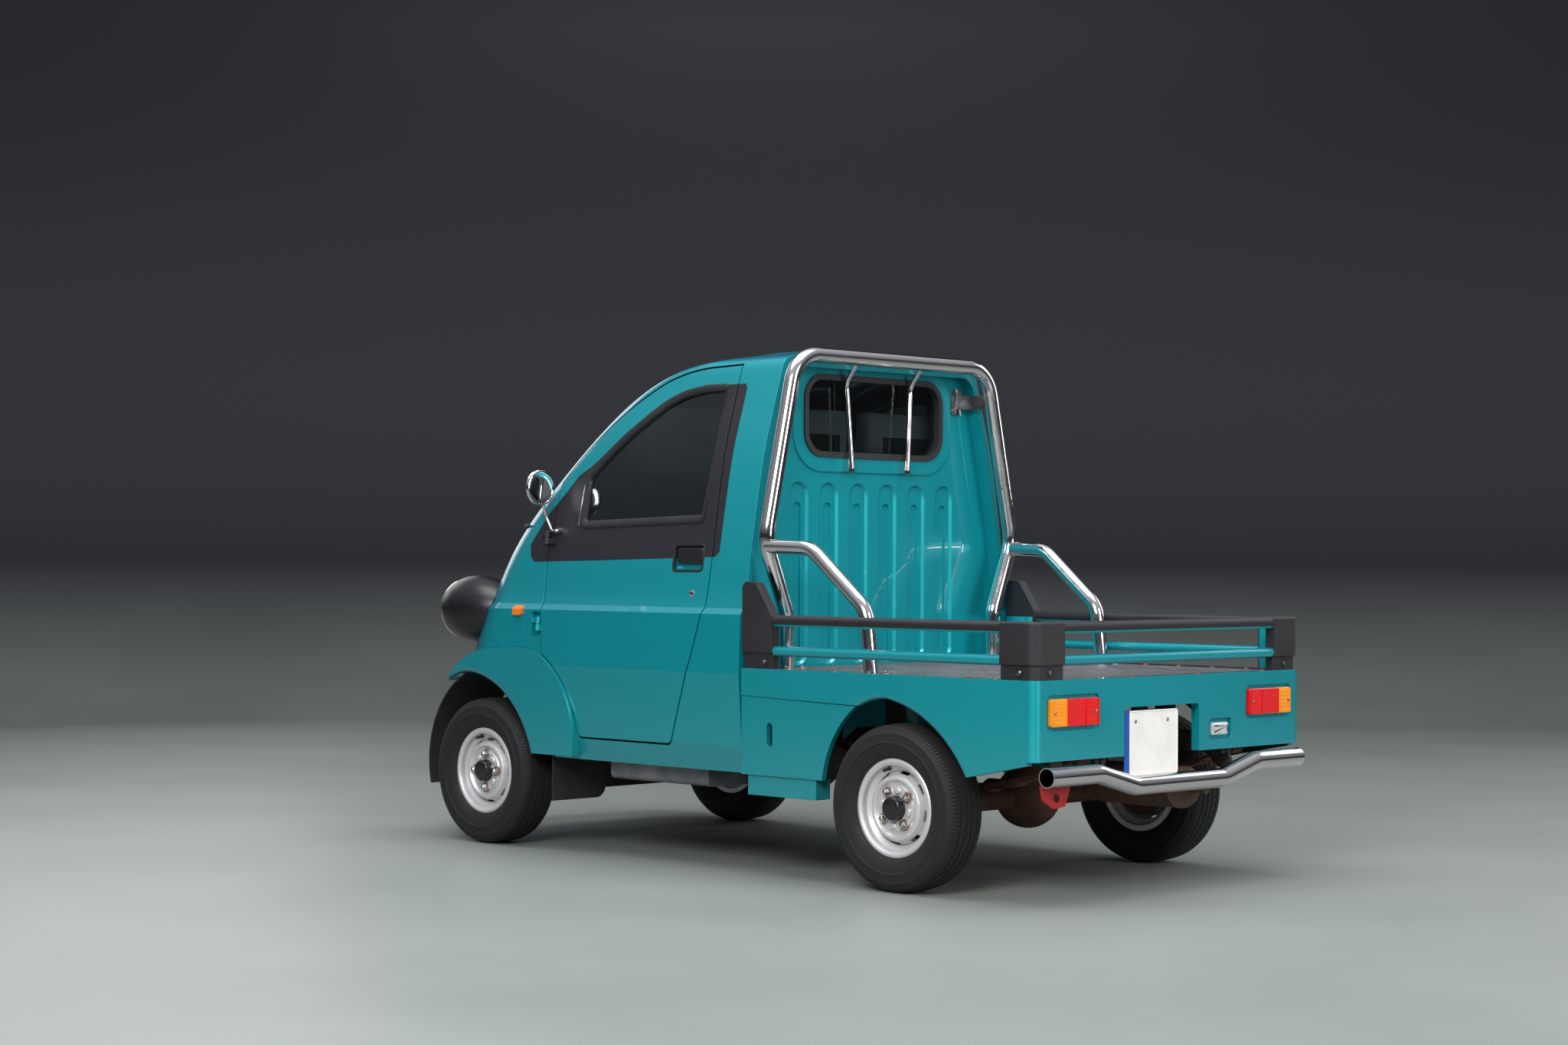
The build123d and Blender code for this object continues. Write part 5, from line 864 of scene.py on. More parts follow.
# ---------------------------------------------------------------- rails and corner posts
# The upper rails are steel tubes in a black vinyl sleeve that leaves the teal bare underneath. The
# posts are moulded in grained black polypropylene, greyed and scuffed, and bolted down at their feet.
def moulded_black(name, dark, pale, grain_scale, low_rough=0.45, high_rough=0.75):
    """Grained black plastic with scuffs and chalky greying."""
    material, tree, shader = start_material(name, IOR=1.49)
    place = add_node(tree, "TexCoord").outputs["Object"]
    grain = add_node(tree, "TexNoise",
                     {"Vector": place, "Scale": grain_scale, "Detail": 4.0, "Roughness": 0.6})
    cloud = add_node(tree, "TexNoise", {"Vector": place, "Scale": 7.0, "Detail": 6.0, "Roughness": 0.6})
    stretched = add_node(tree, "Mapping",
                         {"Vector": place, "Scale": (7.0, 7.0, 90.0), "Rotation": (0.5, 0.2, 0.0)})
    scratch = add_node(tree, "TexNoise",
                       {"Vector": stretched.outputs[0], "Scale": 3.0, "Detail": 8.0, "Roughness": 0.75})
    scuffed = add_node(tree, "MapRange",
                       {"Value": scratch.outputs["Fac"], "From Min": 0.62, "From Max": 0.72, "To Max": 0.5})
    base = add_node(tree, "Mix", {"Factor": cloud.outputs["Fac"], "A": linear(dark), "B": linear(pale)},
                    data_type="RGBA")
    colour = add_node(tree, "Mix", {"Factor": scuffed.outputs["Result"], "A": base.outputs["Result"],
                      "B": linear("#4D4A50")}, data_type="RGBA")
    gloss = add_node(tree, "MapRange",
                     {"Value": cloud.outputs["Fac"], "To Min": low_rough, "To Max": high_rough})
    rounded = add_node(tree, "Bevel", {"Radius": 0.003}, samples=4)
    relief = add_node(tree, "Bump", {"Height": grain.outputs["Fac"], "Distance": 0.0006, "Strength": 0.35,
                      "Normal": rounded.outputs["Normal"]})
    feed(shader, Base_Color=colour.outputs["Result"], Roughness=gloss.outputs["Result"],
         Normal=relief.outputs["Normal"])
    return material, tree, shader


post_plastic, _, _ = moulded_black("grained_black_polypropylene", "#141317", "#26242A", 650.0)
dress("corner_posts", post_plastic)
sleeve, sleeve_tree, sleeve_shader = moulded_black("black_vinyl_sleeve", "#121115", "#232127", 800.0,
                                                   0.4, 0.6)
sleeve_source = sleeve_shader.inputs["Base Color"].links[0].from_socket
sleeve_normal = add_node(sleeve_tree, "SeparateXYZ", {0: add_node(sleeve_tree, "TexCoord").outputs["Normal"]})
sleeve_noise = add_node(sleeve_tree, "TexNoise",
                        {"Vector": add_node(sleeve_tree, "TexCoord").outputs["Object"],
                         "Scale": 55.0, "Detail": 6.0})
sleeve_edge = add_node(sleeve_tree, "Math", {0: sleeve_noise.outputs["Fac"], 1: 0.16}, operation="MULTIPLY")
sleeve_level = add_node(sleeve_tree, "Math", {0: sleeve_normal.outputs["Z"], 1: sleeve_edge.outputs[0]},
                        operation="ADD")
sleeve_bare = add_node(sleeve_tree, "MapRange",
                       {"Value": sleeve_level.outputs[0], "From Min": -0.5, "From Max": -0.62})
sleeve_mix = add_node(sleeve_tree, "Mix", {"Factor": sleeve_bare.outputs["Result"], "A": sleeve_source,
                                           "B": TEAL}, data_type="RGBA")
feed(sleeve_shader, Base_Color=sleeve_mix.outputs["Result"])
dress("upper_rails", sleeve)

# Each foot face has one bolt, sunk in round wells with a raised rim.
FOOT_Z = 641
form = bmesh.new()
wells = bmesh.new()
# Columns: x, y, then how far the bolt faces out along x and y.
POST_BOLTS = [(622, 322, 1, 0), (622, 1306, 1, 0), (556, 1360, 0, 1)]
for side in (1, -1):
    for x, y, out_x, out_y in POST_BOLTS:
        foot = Vector((side * x, y, FOOT_Z))
        out = (side * out_x, out_y, 0)
        turn_form(wells, [(-1, 12.5), (3.4, 12.2), (4.2, 11), (3.6, 9.8), (0.4, 9.4), (0.3, 0)],
                  foot, out, 24)
        bolt_form(form, foot + Vector(out) * 0.2, out, 5, 3.6, washer=1.0)
fit_piece("post_bolt_wells", wells, post_plastic, "chassis")
fit_piece("post_bolts", form, fixing_steel, "chassis", sharp=25)

# ---------------------------------------------------------------- tail lamps and number plate
# Lamp units moulded in coloured acrylic: an amber outer third and red inner part with square lens
# blocks, held by a screw at each end. The plate is enamelled aluminium, left blank.
def acrylic_lens(name, colours, split=None):
    """Coloured lamp acrylic, painted darker as shade where it turns from view. Where split is given, the
    first colour lies further out than that.
    """
    material, tree, shader = start_material(name, IOR=1.49, Subsurface_Weight=0.25, Coat_Weight=0.6,
                                            Subsurface_Radius=(0.01, 0.004, 0.003))
    place = add_node(tree, "TexCoord").outputs["Object"]
    parts = add_node(tree, "SeparateXYZ", {0: place})
    colour = linear(colours[0])[:3]
    if split:
        out = add_node(tree, "Math", {0: add_node(tree, "Math", {0: parts.outputs["X"]},
                       operation="ABSOLUTE").outputs[0], 1: split / 1000}, operation="GREATER_THAN")
        colour = add_node(tree, "Mix", {"Factor": out.outputs[0], "A": linear(colours[1]),
                                        "B": linear(colours[0])}, data_type="RGBA").outputs["Result"]
    # painted shade: the colour darkens where the lens turns away from view
    facing = add_node(tree, "LayerWeight", {"Blend": 0.4})
    cloud = add_node(tree, "TexNoise", {"Vector": place, "Scale": 40.0, "Detail": 5.0})
    grazing_shade = add_node(tree, "MapRange", {"Value": facing.outputs["Facing"], "To Min": 1.0, "To Max": 0.55})
    faded = add_node(tree, "MapRange", {"Value": cloud.outputs["Fac"], "To Min": 0.9, "To Max": 1.08})
    level = add_node(tree, "Math", {0: grazing_shade.outputs["Result"], 1: faded.outputs["Result"]},
                     operation="MULTIPLY")
    shade = add_node(tree, "VectorMath", {0: colour, "Scale": level.outputs[0]}, operation="SCALE")
    rough = add_node(tree, "MapRange", {"Value": cloud.outputs["Fac"], "From Min": 0.35, "From Max": 0.75,
                                        "To Min": 0.05, "To Max": 0.25})
    feed(shader, Base_Color=shade.outputs[0], Roughness=rough.outputs["Result"])
    return material


tail_acrylic = acrylic_lens("red_and_amber_acrylic", ("#FF9A1E", "#E3161C"), split=504)
dress("tail_lamps", tail_acrylic)
form = bmesh.new()
screws = bmesh.new()
LENS_FACE_Y = 1377
LENS_LOW_Z, LENS_HEIGHT = 497, 67
BLOCKS = 6
BLOCK_GAP = 0.6
BLOCK_FIELDS = [(366, 418), (422, 500), (508, 562)]
LENS_RIBS = [(362.5, 365.5), (418.5, 421.5), (501, 507), (562.5, 565.5)]
LENS_SCREWS_X = (373, 555)
for side in (1, -1):
    # a raised rim, a rib between the colours and the lens blocks in rows
    for x_from, x_to in BLOCK_FIELDS:
        for column in range(BLOCKS):
            for row in range(BLOCKS):
                low_x = x_from + (x_to - x_from) * column / BLOCKS + BLOCK_GAP
                high_x = x_from + (x_to - x_from) * (column + 1) / BLOCKS - BLOCK_GAP
                low_z = LENS_LOW_Z + LENS_HEIGHT * row / BLOCKS + BLOCK_GAP
                high_z = LENS_LOW_Z + LENS_HEIGHT * (row + 1) / BLOCKS - BLOCK_GAP
                peak = form.verts.new((side * (low_x + high_x) / 2, LENS_FACE_Y + 1.6, (low_z + high_z) / 2))
                rim = [form.verts.new((side * x, LENS_FACE_Y - 0.3, z)) for x, z in
                       ((low_x, low_z), (high_x, low_z), (high_x, high_z), (low_x, high_z))]
                for place in range(4):
                    form.faces.new((rim[place], rim[(place + 1) % 4], peak))
    for x_from, x_to in LENS_RIBS:
        ring = [(side * x_from, LENS_FACE_Y - 0.5), (side * x_from, LENS_FACE_Y + 2.2),
                (side * x_to, LENS_FACE_Y + 2.2), (side * x_to, LENS_FACE_Y - 0.5)]
        skin(form, [[Vector((x, y, z)) for x, y in ring]
                    for z in (LENS_LOW_Z - 3, LENS_LOW_Z + LENS_HEIGHT + 3)], capped=True)
    for x in LENS_SCREWS_X:
        turn_form(screws, [(0, 4.6), (2.6, 4.4), (3.4, 3.2), (3.5, 0)],
                  (side * x, LENS_FACE_Y - 0.2, LENS_LOW_Z + LENS_HEIGHT / 2), (0, 1, 0), 16)
fit_piece("tail_lamp_lens_blocks", form, tail_acrylic, "chassis", sharp=12)
fit_piece("tail_lamp_screws", screws, fixing_steel, "chassis")

PLATE_X, PLATE_Z = 105, 432
PLATE_FACE_Y = 1364
PLATE_HALF_X, PLATE_HALF_Z = 124, 91
# In metres: where the blue band starts, and the sheet's coated front and bare back.
BAND_X, COATED_Y, BARE_Y = 0.207, 1.3619, 1.3612
plate_enamel, plate_tree, plate_shader = start_material("white_plate_enamel", Roughness=0.4, IOR=1.5)
plate_place = add_node(plate_tree, "TexCoord").outputs["Object"]
plate_parts = add_node(plate_tree, "SeparateXYZ", {0: plate_place})
plate_cloud = add_node(plate_tree, "TexNoise",
                       {"Vector": plate_place, "Scale": 14.0, "Detail": 7.0, "Roughness": 0.65})
plate_white = add_node(plate_tree, "Mix", {"Factor": plate_cloud.outputs["Fac"], "A": linear("#F2F1EE"),
                       "B": linear("#CFCCC6")}, data_type="RGBA")
# a plain blue band down the side nearer the middle of the truck
plate_band = add_node(plate_tree, "Math", {0: plate_parts.outputs["X"], 1: BAND_X}, operation="GREATER_THAN")
plate_face = add_node(plate_tree, "Math", {0: plate_parts.outputs["Y"], 1: COATED_Y},
                      operation="GREATER_THAN")
plate_blue = add_node(plate_tree, "Math", {0: plate_band.outputs[0], 1: plate_face.outputs[0]},
                      operation="MULTIPLY")
plate_tint = add_node(plate_tree, "Mix", {"Factor": plate_blue.outputs[0], "A": plate_white.outputs["Result"],
                      "B": linear("#1E4FA0")}, data_type="RGBA")
plate_steel = add_node(plate_tree, "Math", {0: plate_parts.outputs["Y"], 1: BARE_Y}, operation="LESS_THAN")
plate_final = add_node(plate_tree, "Mix",
                       {"Factor": plate_steel.outputs[0], "A": plate_tint.outputs["Result"],
                        "B": linear("#2A2628")}, data_type="RGBA")
feed(plate_shader, Base_Color=plate_final.outputs["Result"])
dress("number_plate", plate_enamel)
form = bmesh.new()
edge = corner_arcs(box_corners((PLATE_X - PLATE_HALF_X, PLATE_X + PLATE_HALF_X),
                               (PLATE_Z - PLATE_HALF_Z, PLATE_Z + PLATE_HALF_Z)), [9] * 4)
rings = []
for margin, rise in ((0, -0.4), (0.6, 1.2), (2.6, 1.4), (3.6, -0.2)):
    rings.append([Vector((point.x, PLATE_FACE_Y + rise, point.y)) for point in drawn_in(edge, margin)])
skin(form, rings)
fit_piece("plate_pressed_rim", form, plate_enamel, "chassis")
form = bmesh.new()
for x in (PLATE_X - 75, PLATE_X + 75):
    dome_form(form, (x, PLATE_FACE_Y, PLATE_Z + 62), (0, 1, 0), 6, 3)
fit_piece("plate_screws", form, fixing_steel, "chassis")

# A small clear lamp in the pocket beside the opening lights the plate.
PLATE_LAMP_X, PLATE_LAMP_Z = (-264, -182), (438, 476)
clear_acrylic, clear_tree, clear_shader = start_material("frosted_clear_acrylic", Roughness=0.25, IOR=1.49,
                                                         Transmission_Weight=0.35)
clear_place = add_node(clear_tree, "TexCoord").outputs["Object"]
clear_cloud = add_node(clear_tree, "TexNoise", {"Vector": clear_place, "Scale": 50.0, "Detail": 5.0})
clear_tint = add_node(clear_tree, "Mix", {"Factor": clear_cloud.outputs["Fac"], "A": linear("#DDE3E2"),
                      "B": linear("#A9B0AF")}, data_type="RGBA")
feed(clear_shader, Base_Color=clear_tint.outputs["Result"])
form = bmesh.new()
outline = corner_arcs(box_corners(PLATE_LAMP_X, PLATE_LAMP_Z), [8] * 4)
rings = []
for margin, y in ((0, 1356.2), (0, 1362), (2, 1366), (6, 1368.5), (12, 1369.2)):
    rings.append([Vector((point.x, y, point.y)) for point in drawn_in(outline, margin)])
skin(form, rings, capped=True)
fit_piece("plate_lamp_lens", form, clear_acrylic, "chassis")
form = bmesh.new()
for x in (PLATE_LAMP_X[0] + 8, PLATE_LAMP_X[1] - 8):
    dome_form(form, (x, 1366.5, sum(PLATE_LAMP_Z) / 2), (0, 1, 0), 4.5, 2.6)
fit_piece("plate_lamp_screws", form, fixing_steel, "chassis")

# Domed bolts along the rim of the bed: (x, y) on the tail, then each side's y.
RIM_TOP_Z = 620
TAIL_RIM_BOLTS = [(190, 1354), (-130, 1354), (-450, 1354)]
SIDE_RIM_X = 619
SIDE_RIM_BOLTS_Y = (460, 790, 1120)
form = bmesh.new()
for x, y in TAIL_RIM_BOLTS:
    dome_form(form, (x, y, RIM_TOP_Z), (0, 0, 1), 8, 4.5)
for side in (1, -1):
    for y in SIDE_RIM_BOLTS_Y:
        dome_form(form, (side * SIDE_RIM_X, y, RIM_TOP_Z), (0, 0, 1), 7, 4)
fit_piece("bed_rim_bolts", form, rusty_bolt, "chassis", sharp=50)

# Pressed steel plates, painted with the body, back the posts from inside the bed.
def plate_form(form, low, high, chamfer=1.0):
    """Adds a thin plate as a box with chamfered edges, between two corners in mm."""
    made = bmesh.ops.create_cube(form, size=1.0)
    for vertex in made["verts"]:
        for axis in range(3):
            vertex.co[axis] = (low[axis] + high[axis]) / 2 + vertex.co[axis] * (high[axis] - low[axis])
    edges = list({edge for vertex in made["verts"] for edge in vertex.link_edges})
    bmesh.ops.bevel(form, geom=edges, offset=chamfer, segments=2, affect="EDGES", profile=0.5)


# The lowest and highest corner of each plate on the left side.
BACKING_PLATES = [((592, 240, 619), (594.6, 350, 760)), ((592, 1246, 619), (594.6, 1330, 772)),
                  ((506, 1330.2, 619), (590, 1332.6, 772))]
form = bmesh.new()
for side in (1, -1):
    for low, high in BACKING_PLATES:
        near, far = sorted((side * low[0], side * high[0]))
        plate_form(form, (near, low[1], low[2]), (far, high[1], high[2]), 0.8)
fit_piece("post_backing_plates", form, teal_panel, "chassis")

# ---------------------------------------------------------------- lamps at the front
# Round headlamps stand proud in gloss black bowls: a fluted glass over an aluminised reflector, held by
# a bright ring. The indicators are amber acrylic on the wing corners and the nose.
LAMP_X, LAMP_Z = 548, 773
LAMP_FRONT_Y = -1192
REFLECTOR_SEAT = 74
RING_CLIPS = 3
CLIP_RADIUS = 96
bowl_paint, _, _ = moulded_black("satin_black_lamp_paint", "#0C0C0E", "#16161A", 900.0, 0.26, 0.36)
dress("headlamp_bowls", bowl_paint)
lamp_glass = acrylic_lens("fluted_lamp_glass", ("#DCE4E6", "#DCE4E6"))
lamp_shader = lamp_glass.node_tree.nodes["Principled BSDF"]
lamp_shader.inputs["Transmission Weight"].default_value = 0.85
lamp_shader.inputs["Subsurface Weight"].default_value = 0.0
dress("headlamp_lenses", lamp_glass)
amber_acrylic = acrylic_lens("amber_acrylic", ("#FB8420", "#FB8420"))
dress("indicator_lamps", amber_acrylic)
rings = bmesh.new()
reflectors = bmesh.new()
for side in (1, -1):
    middle = (side * LAMP_X, LAMP_FRONT_Y, LAMP_Z)
    turn_form(rings, [(-6, 98.6), (2, 99.4), (6, 97.5), (7, 94.5), (5, 92.2), (-3, 91.9)], middle,
              (0, -1, 0), 64)
    for place in range(RING_CLIPS):
        turn = math.pi / 2 + place * 2 * math.pi / RING_CLIPS
        foot = (side * LAMP_X + CLIP_RADIUS * math.cos(turn), LAMP_FRONT_Y - 5.5,
                LAMP_Z + CLIP_RADIUS * math.sin(turn))
        dome_form(rings, foot, (0, -1, 0), 3.4, 2)
    seat = (side * LAMP_X, LAMP_FRONT_Y + REFLECTOR_SEAT, LAMP_Z)
    turn_form(reflectors, [(12, 0), (11, 12), (2.5, 12.5), (10, 18), (21, 40), (33, 64), (46.5, 90.5)], seat,
              (0, -1, 0), 48)
fit_piece("headlamp_rings", rings, tube_chrome, "chassis")
fit_piece("headlamp_reflectors", reflectors, bright, "chassis")

# ---------------------------------------------------------------- mirrors, door handles and wipers
# Round chromed door mirrors on bent stalks. Each door has a black lift flap in a pressed recess and a
# bright lock below it. Two black wipers park along the foot of the windscreen.
MIRROR_HEAD = (646, -692, 1173)
mirror_silver = plated("silvered_mirror_glass", "#DCE0E2", 0.02, 0.06, spot_share=0.85)
flap_plastic, _, _ = moulded_black("satin_black_flap", "#17161A", "#26242A", 700.0, 0.3, 0.5)
HANDLE_Y = (-108, 20)
HANDLE_Z = (911, 986)
FLAP_LOW_Z = 932
HANDLE_FLOOR_X = 569
LOCK_PLACE = (-13, 839)
for side, hand in ((1, "left"), (-1, "right")):
    dress(f"door_mirror_{hand}", tube_chrome)
    form = bmesh.new()
    head = (side * MIRROR_HEAD[0], MIRROR_HEAD[1] + 9, MIRROR_HEAD[2])
    turn_form(form, [(0.2, 53), (0.9, 52), (1.2, 30), (1.3, 0)], head, (0, 1, 0), 48)
    fit_piece(f"mirror_glass_{hand}", form, mirror_silver, f"door_{hand}")
    form = bmesh.new()
    turn_form(form, [(-1, 57.2), (2.2, 57), (3.4, 55.4), (2.8, 53.2), (0.2, 52.6)], head, (0, 1, 0), 48)
    fit_piece(f"mirror_rim_{hand}", form, tube_chrome, f"door_{hand}")
    # the flap is hinged along its top edge and bowed; a finger well shows beneath it
    form = bmesh.new()
    outline = corner_arcs(box_corners((HANDLE_Y[0] + 6, HANDLE_Y[1] - 6), (FLAP_LOW_Z, HANDLE_Z[1] - 5)),
                          [9] * 4)
    flap_rings = []
    for margin, rise in ((0, -2), (0, 9), (1.5, 11), (4, 12.2), (7, 12.6)):
        flap_rings.append([Vector((side * (HANDLE_FLOOR_X + 2 + rise), point.x, point.y))
                           for point in drawn_in(outline, margin)])
    skin(form, flap_rings, capped=True)
    fit_piece(f"handle_flap_{hand}", form, flap_plastic, f"door_{hand}")
    form = bmesh.new()
    edge = corner_arcs(box_corners((HANDLE_Y[0] - 2, HANDLE_Y[1] + 2), (HANDLE_Z[0] - 2, HANDLE_Z[1] + 2)),
                       [14] * 4)
    rim_rings = []
    for margin, rise in ((-4, -0.6), (-3.5, 1.4), (0, 2.0), (3, 1.0), (3.4, -8)):
        rim_rings.append([Vector((side * (door_x(40, point.y) + rise), point.x, point.y))
                          for point in drawn_in(edge, margin)])
    skin(form, rim_rings)
    fit_piece(f"handle_rim_{hand}", form, flap_plastic, f"door_{hand}")
    form = bmesh.new()
    lock_x = door_x(*LOCK_PLACE)
    turn_form(form, [(-2, 11), (1.2, 10.6), (2.2, 9), (1.6, 7.8), (1.7, 0)], (side * lock_x, *LOCK_PLACE),
              (side, 0, 0.1), 24)
    fit_piece(f"door_lock_{hand}", form, tube_chrome, f"door_{hand}")

screen_skin = surface_of("windscreen", "window_seals", "cab_shell")


def screen_point(x, z, rise):
    """A point in front of the windscreen's surface, in mm."""
    hit, normal, _, _ = screen_skin.ray_cast(Vector((x / 1000, -2.0, z / 1000)), Vector((0, 1, 0)))
    return (hit + normal * (rise / 1000 if normal.y < 0 else -rise / 1000)) * 1000


wiper_steel, _, _ = moulded_black("satin_black_steel", "#151417", "#232126", 900.0, 0.35, 0.55)
WIPER_PIVOTS_X = (-360, 90)
# Points of an arm and of the bridge over its blade, as (run from the pivot, z, rise off the glass).
WIPER_ARM = [(0, 940, 10), (60, 968, 15), (250, 1018, 15)]
WIPER_BRIDGE = [(110, 998, 12), (250, 1018, 15), (390, 1039, 12)]
BLADE_PIECES = 12
form = bmesh.new()
for pivot_x in WIPER_PIVOTS_X:
    arm, bridge = [[screen_point(pivot_x + run, z, rise) for run, z, rise in line]
                   for line in (WIPER_ARM, WIPER_BRIDGE)]
    turn_form(form, [(-14, 11), (4, 11), (8, 9), (9, 0)], arm[0], (0, -0.8, 0.6), 18)
    tube_form(form, arm, 5.5, steps=8)
    blade = [screen_point(pivot_x + 30 + 440 * step / BLADE_PIECES, 985 + 66 * step / BLADE_PIECES, 9)
             for step in range(BLADE_PIECES + 1)]
    tube_form(form, blade, 5, steps=8)
    tube_form(form, bridge, 3.5, steps=8)
fit_piece("wipers", form, wiper_steel, "chassis")

# ---------------------------------------------------------------- arches and flaps
# Polyethylene liners and rubber flaps keep spray off the body. Road dust has dulled both.
liner_plastic = weathered("dusty_black_liner", ("#1B1A1C", "#2E2B2A"), 7.0, rough=(0.6, 0.85), metallic=0.0,
                          bump=0.3, rust="#4A443C", rust_start=0.56, rust_top=0.8)
dress("wheel_liners", liner_plastic)
dress("mud_flaps", liner_plastic)
# The inward faces of the bed sides, covers and wings are drawn near black.
bed_dark_inside = painted_steel("teal_steel_dark_inside", inward_colour="#19181B")
for panel_name in ("bed_sides", "side_covers", "front_wings"):
    dress(panel_name, bed_dark_inside)

# ---------------------------------------------------------------- cabin
# The dash, column and wheel are grained dark vinyl and plastic. The seats are foam under knitted cloth,
# drawn tight over their frames, with a pale ribbed border round a dark middle.
dash_vinyl, _, _ = moulded_black("grained_dash_vinyl", "#242327", "#343237", 500.0, 0.5, 0.7)
for cabin_name in ("dashboard", "steering_column", "steering_wheel", "interior_mirror"):
    dress(cabin_name, dash_vinyl)
pad_grey, _, _ = moulded_black("pale_grey_pad", "#8B8D90", "#A3A5A8", 500.0, 0.5, 0.7)
HOOD_LOW, HOOD_HIGH = (-410, -790, 946), (-130, -655, 1004)
VISOR_MIDDLE, VISOR_HALF = 270, 165
form = bmesh.new()
plate_form(form, HOOD_LOW, HOOD_HIGH, 18)
fit_piece("instrument_hood", form, pad_grey, "chassis")
form = bmesh.new()
for x in (-VISOR_MIDDLE, VISOR_MIDDLE):
    plate_form(form, (x - VISOR_HALF, -330, 1430), (x + VISOR_HALF, -322, 1500), 3.5)
fit_piece("sun_visors", form, dash_vinyl, "chassis")

SEAT_MIDDLE, SEAT_HALF = 225, 188
SEAT_SWELL = 10
# In metres: where the pale border starts beside a seat's middle, and where the pale head part starts.
BORDER_START, HEAD_START_Z = 0.125, 1.34
seat_cloth, seat_tree, seat_shader = start_material("knitted_seat_cloth", Roughness=0.92, Sheen_Weight=0.3)
seat_place = add_node(seat_tree, "TexCoord").outputs["Object"]
seat_parts = add_node(seat_tree, "SeparateXYZ", {0: seat_place})
seat_side = add_node(seat_tree, "Math", {0: seat_parts.outputs["X"]}, operation="ABSOLUTE").outputs[0]
seat_off = add_node(seat_tree, "Math", {0: seat_side, 1: SEAT_MIDDLE / 1000}, operation="SUBTRACT").outputs[0]
seat_reach = add_node(seat_tree, "Math", {0: seat_off}, operation="ABSOLUTE").outputs[0]
seat_edge = add_node(seat_tree, "Math", {0: seat_reach, 1: BORDER_START}, operation="GREATER_THAN").outputs[0]
seat_top = add_node(seat_tree, "Math", {0: seat_parts.outputs["Z"], 1: HEAD_START_Z},
                    operation="GREATER_THAN").outputs[0]
seat_border = add_node(seat_tree, "Math", {0: seat_edge, 1: seat_top}, operation="MAXIMUM").outputs[0]
# ribs 9 mm apart run across the border
seat_ribs = add_node(seat_tree, "TexWave", {"Vector": seat_place, "Scale": 35.0}, bands_direction="Z")
seat_knit = add_node(seat_tree, "TexNoise", {"Vector": seat_place, "Scale": 700.0, "Detail": 3.0})
seat_tint = add_node(seat_tree, "Mix", {"Factor": seat_border, "A": linear("#232327"),
                                        "B": linear("#8D8E92")}, data_type="RGBA")
feed(seat_shader, Base_Color=seat_tint.outputs["Result"])
seat_height = add_node(seat_tree, "Math", {0: seat_ribs.outputs["Color"], 1: seat_border},
                       operation="MULTIPLY").outputs[0]
seat_relief = add_node(seat_tree, "Math", {0: seat_height, 1: seat_knit.outputs["Fac"]},
                       operation="ADD").outputs[0]
seat_bump = add_node(seat_tree, "Bump", {"Height": seat_relief, "Distance": 0.001, "Strength": 0.5})
feed(seat_shader, Normal=seat_bump.outputs["Normal"])


def cushion(name, side_profile, x_from, x_to, swell):
    """A foam piece: a (y, z) profile pushed across in X, remeshed, its cover blown up by cloth simulation."""
    form = bmesh.new()
    rings = [[Vector((x, y, z)) for y, z in side_profile] for x in (x_from, x_to)]
    skin(form, rings, capped=True)
    bmesh.ops.bevel(form, geom=list(form.edges), offset=22, segments=3, affect="EDGES", profile=0.6)
    piece = fit_piece(name, form, seat_cloth, "chassis", sharp=60)
    remesh = piece.modifiers.new("remesh", "REMESH")
    remesh.mode = "VOXEL"
    remesh.voxel_size = 0.008
    remesh.use_smooth_shade = True
    shaped = bpy.data.meshes.new_from_object(piece.evaluated_get(bpy.context.evaluated_depsgraph_get()))
    piece.modifiers.clear()
    shaped.materials.clear()
    shaped.materials.append(seat_cloth)
    piece.data = shaped
    before = [vertex.co.copy() for vertex in piece.data.vertices]
    cloth = piece.modifiers.new("cover", "CLOTH")
    cloth.settings.use_pressure = True
    cloth.settings.uniform_pressure_force = 4.0
    cloth.settings.effector_weights.gravity = 0.0
    cloth.settings.tension_stiffness = 25.0
    cloth.settings.compression_stiffness = 25.0
    cloth.settings.bending_stiffness = 1.5
    scene = bpy.context.scene
    for step in range(1, 21):
        scene.frame_set(step)
    blown = bpy.data.meshes.new_from_object(piece.evaluated_get(bpy.context.evaluated_depsgraph_get()))
    piece.modifiers.clear()
    scene.frame_set(1)
    blown_points = [vertex.co.copy() for vertex in blown.vertices]
    for vertex, start, end in zip(piece.data.vertices, before, blown_points):
        move = end - start
        vertex.co = start + move.normalized() * min(move.length, swell / 1000)
    piece.data.shade_smooth()
    return piece


BASE_PROFILE = [(-488, 612), (0, 612), (0, 716), (-300, 714), (-488, 728)]
BACK_PROFILE = [(10, 700), (120, 700), (120, 1428), (58, 1428), (-12, 740)]
for side, hand in ((1, "left"), (-1, "right")):
    low_x, high_x = side * SEAT_MIDDLE - SEAT_HALF, side * SEAT_MIDDLE + SEAT_HALF
    base = cushion(f"seat_cushion_{hand}", BASE_PROFILE, low_x, high_x, SEAT_SWELL)
    back = cushion(f"seat_back_{hand}", BACK_PROFILE, low_x, high_x, SEAT_SWELL)
    if side == 1:
        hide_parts("seats")

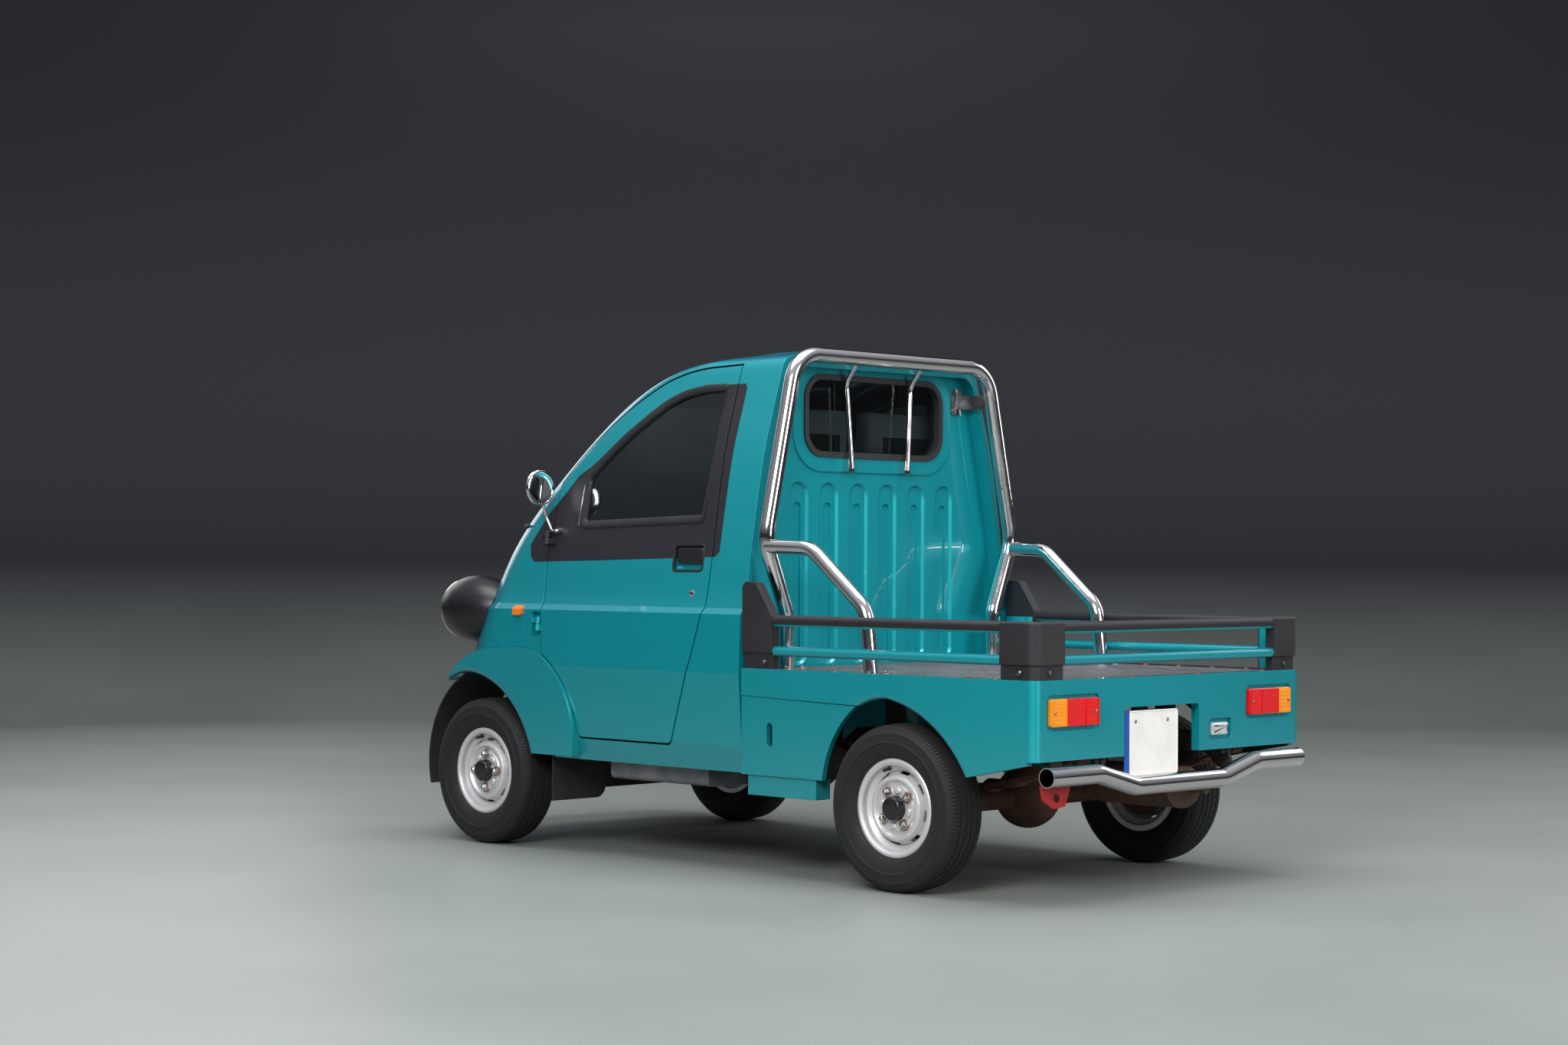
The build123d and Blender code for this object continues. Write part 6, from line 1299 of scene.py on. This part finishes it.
# ---------------------------------------------------------------- underbody
# The frame is black chassis paint under road dust, with rust at its seams. The axle, springs and
# silencer have rusted all over; the engine is cast aluminium gone dull, the tank galvanised.
frame_paint = weathered("dusty_black_chassis_paint", ("#232123", "#393531"), 8.0, rough=(0.55, 0.85),
                        metallic=0.1, bump=0.3, rust_start=0.58, rust_top=0.7)
for frame_name in ("chassis_frame", "deck_bearers", "crossmembers", "front_arms", "front_struts",
                   "knuckle_left", "knuckle_right", "propshaft"):
    dress(frame_name, frame_paint)
axle_rust = weathered("rusted_axle_steel", ("#6A4330", "#3D2C26"), 14.0, rough=(0.6, 0.9), metallic=0.25,
                      bump=0.5)
dress("rear_axle", axle_rust)
dress("leaf_springs", axle_rust)
exhaust_rust = weathered("rusted_exhaust_steel", ("#4A3A33", "#6B4E3C"), 11.0, rough=(0.6, 0.9),
                         metallic=0.35, bump=0.4)
dress("exhaust", exhaust_rust)
cast_aluminium = weathered("oxidised_cast_aluminium", ("#77767A", "#55545A"), 16.0, rough=(0.5, 0.75),
                           metallic=0.7, bump=0.4, rust="#3B342E", rust_start=0.6, rust_top=0.72)
dress("engine", cast_aluminium)
tank_zinc = weathered("galvanised_sheet", ("#8E8F92", "#6F7276"), 12.0, rough=(0.4, 0.6), metallic=0.8,
                      bump=0.2, rust_start=0.62, rust_top=0.72)
dress("fuel_tank", tank_zinc)

# The tow hook is cast steel, dipped red at its eye.
DIPPED_BELOW_Z = 0.34
hook_paint = weathered("red_dipped_steel", ("#B3201F", "#8E1B1C"), 20.0, rough=(0.4, 0.6), metallic=0.1,
                       bump=0.3)
hook_tree = hook_paint.node_tree
hook_shader = hook_tree.nodes["Principled BSDF"]
hook_red = hook_shader.inputs["Base Color"].links[0].from_socket
hook_place = add_node(hook_tree, "SeparateXYZ", {0: add_node(hook_tree, "TexCoord").outputs["Object"]})
hook_bare = add_node(hook_tree, "Math", {0: hook_place.outputs["Z"], 1: DIPPED_BELOW_Z},
                     operation="GREATER_THAN")
hook_tint = add_node(hook_tree, "Mix", {"Factor": hook_bare.outputs[0], "A": hook_red,
                                        "B": linear("#2A2624")}, data_type="RGBA")
feed(hook_shader, Base_Color=hook_tint.outputs["Result"])
dress("tow_hook", hook_paint)
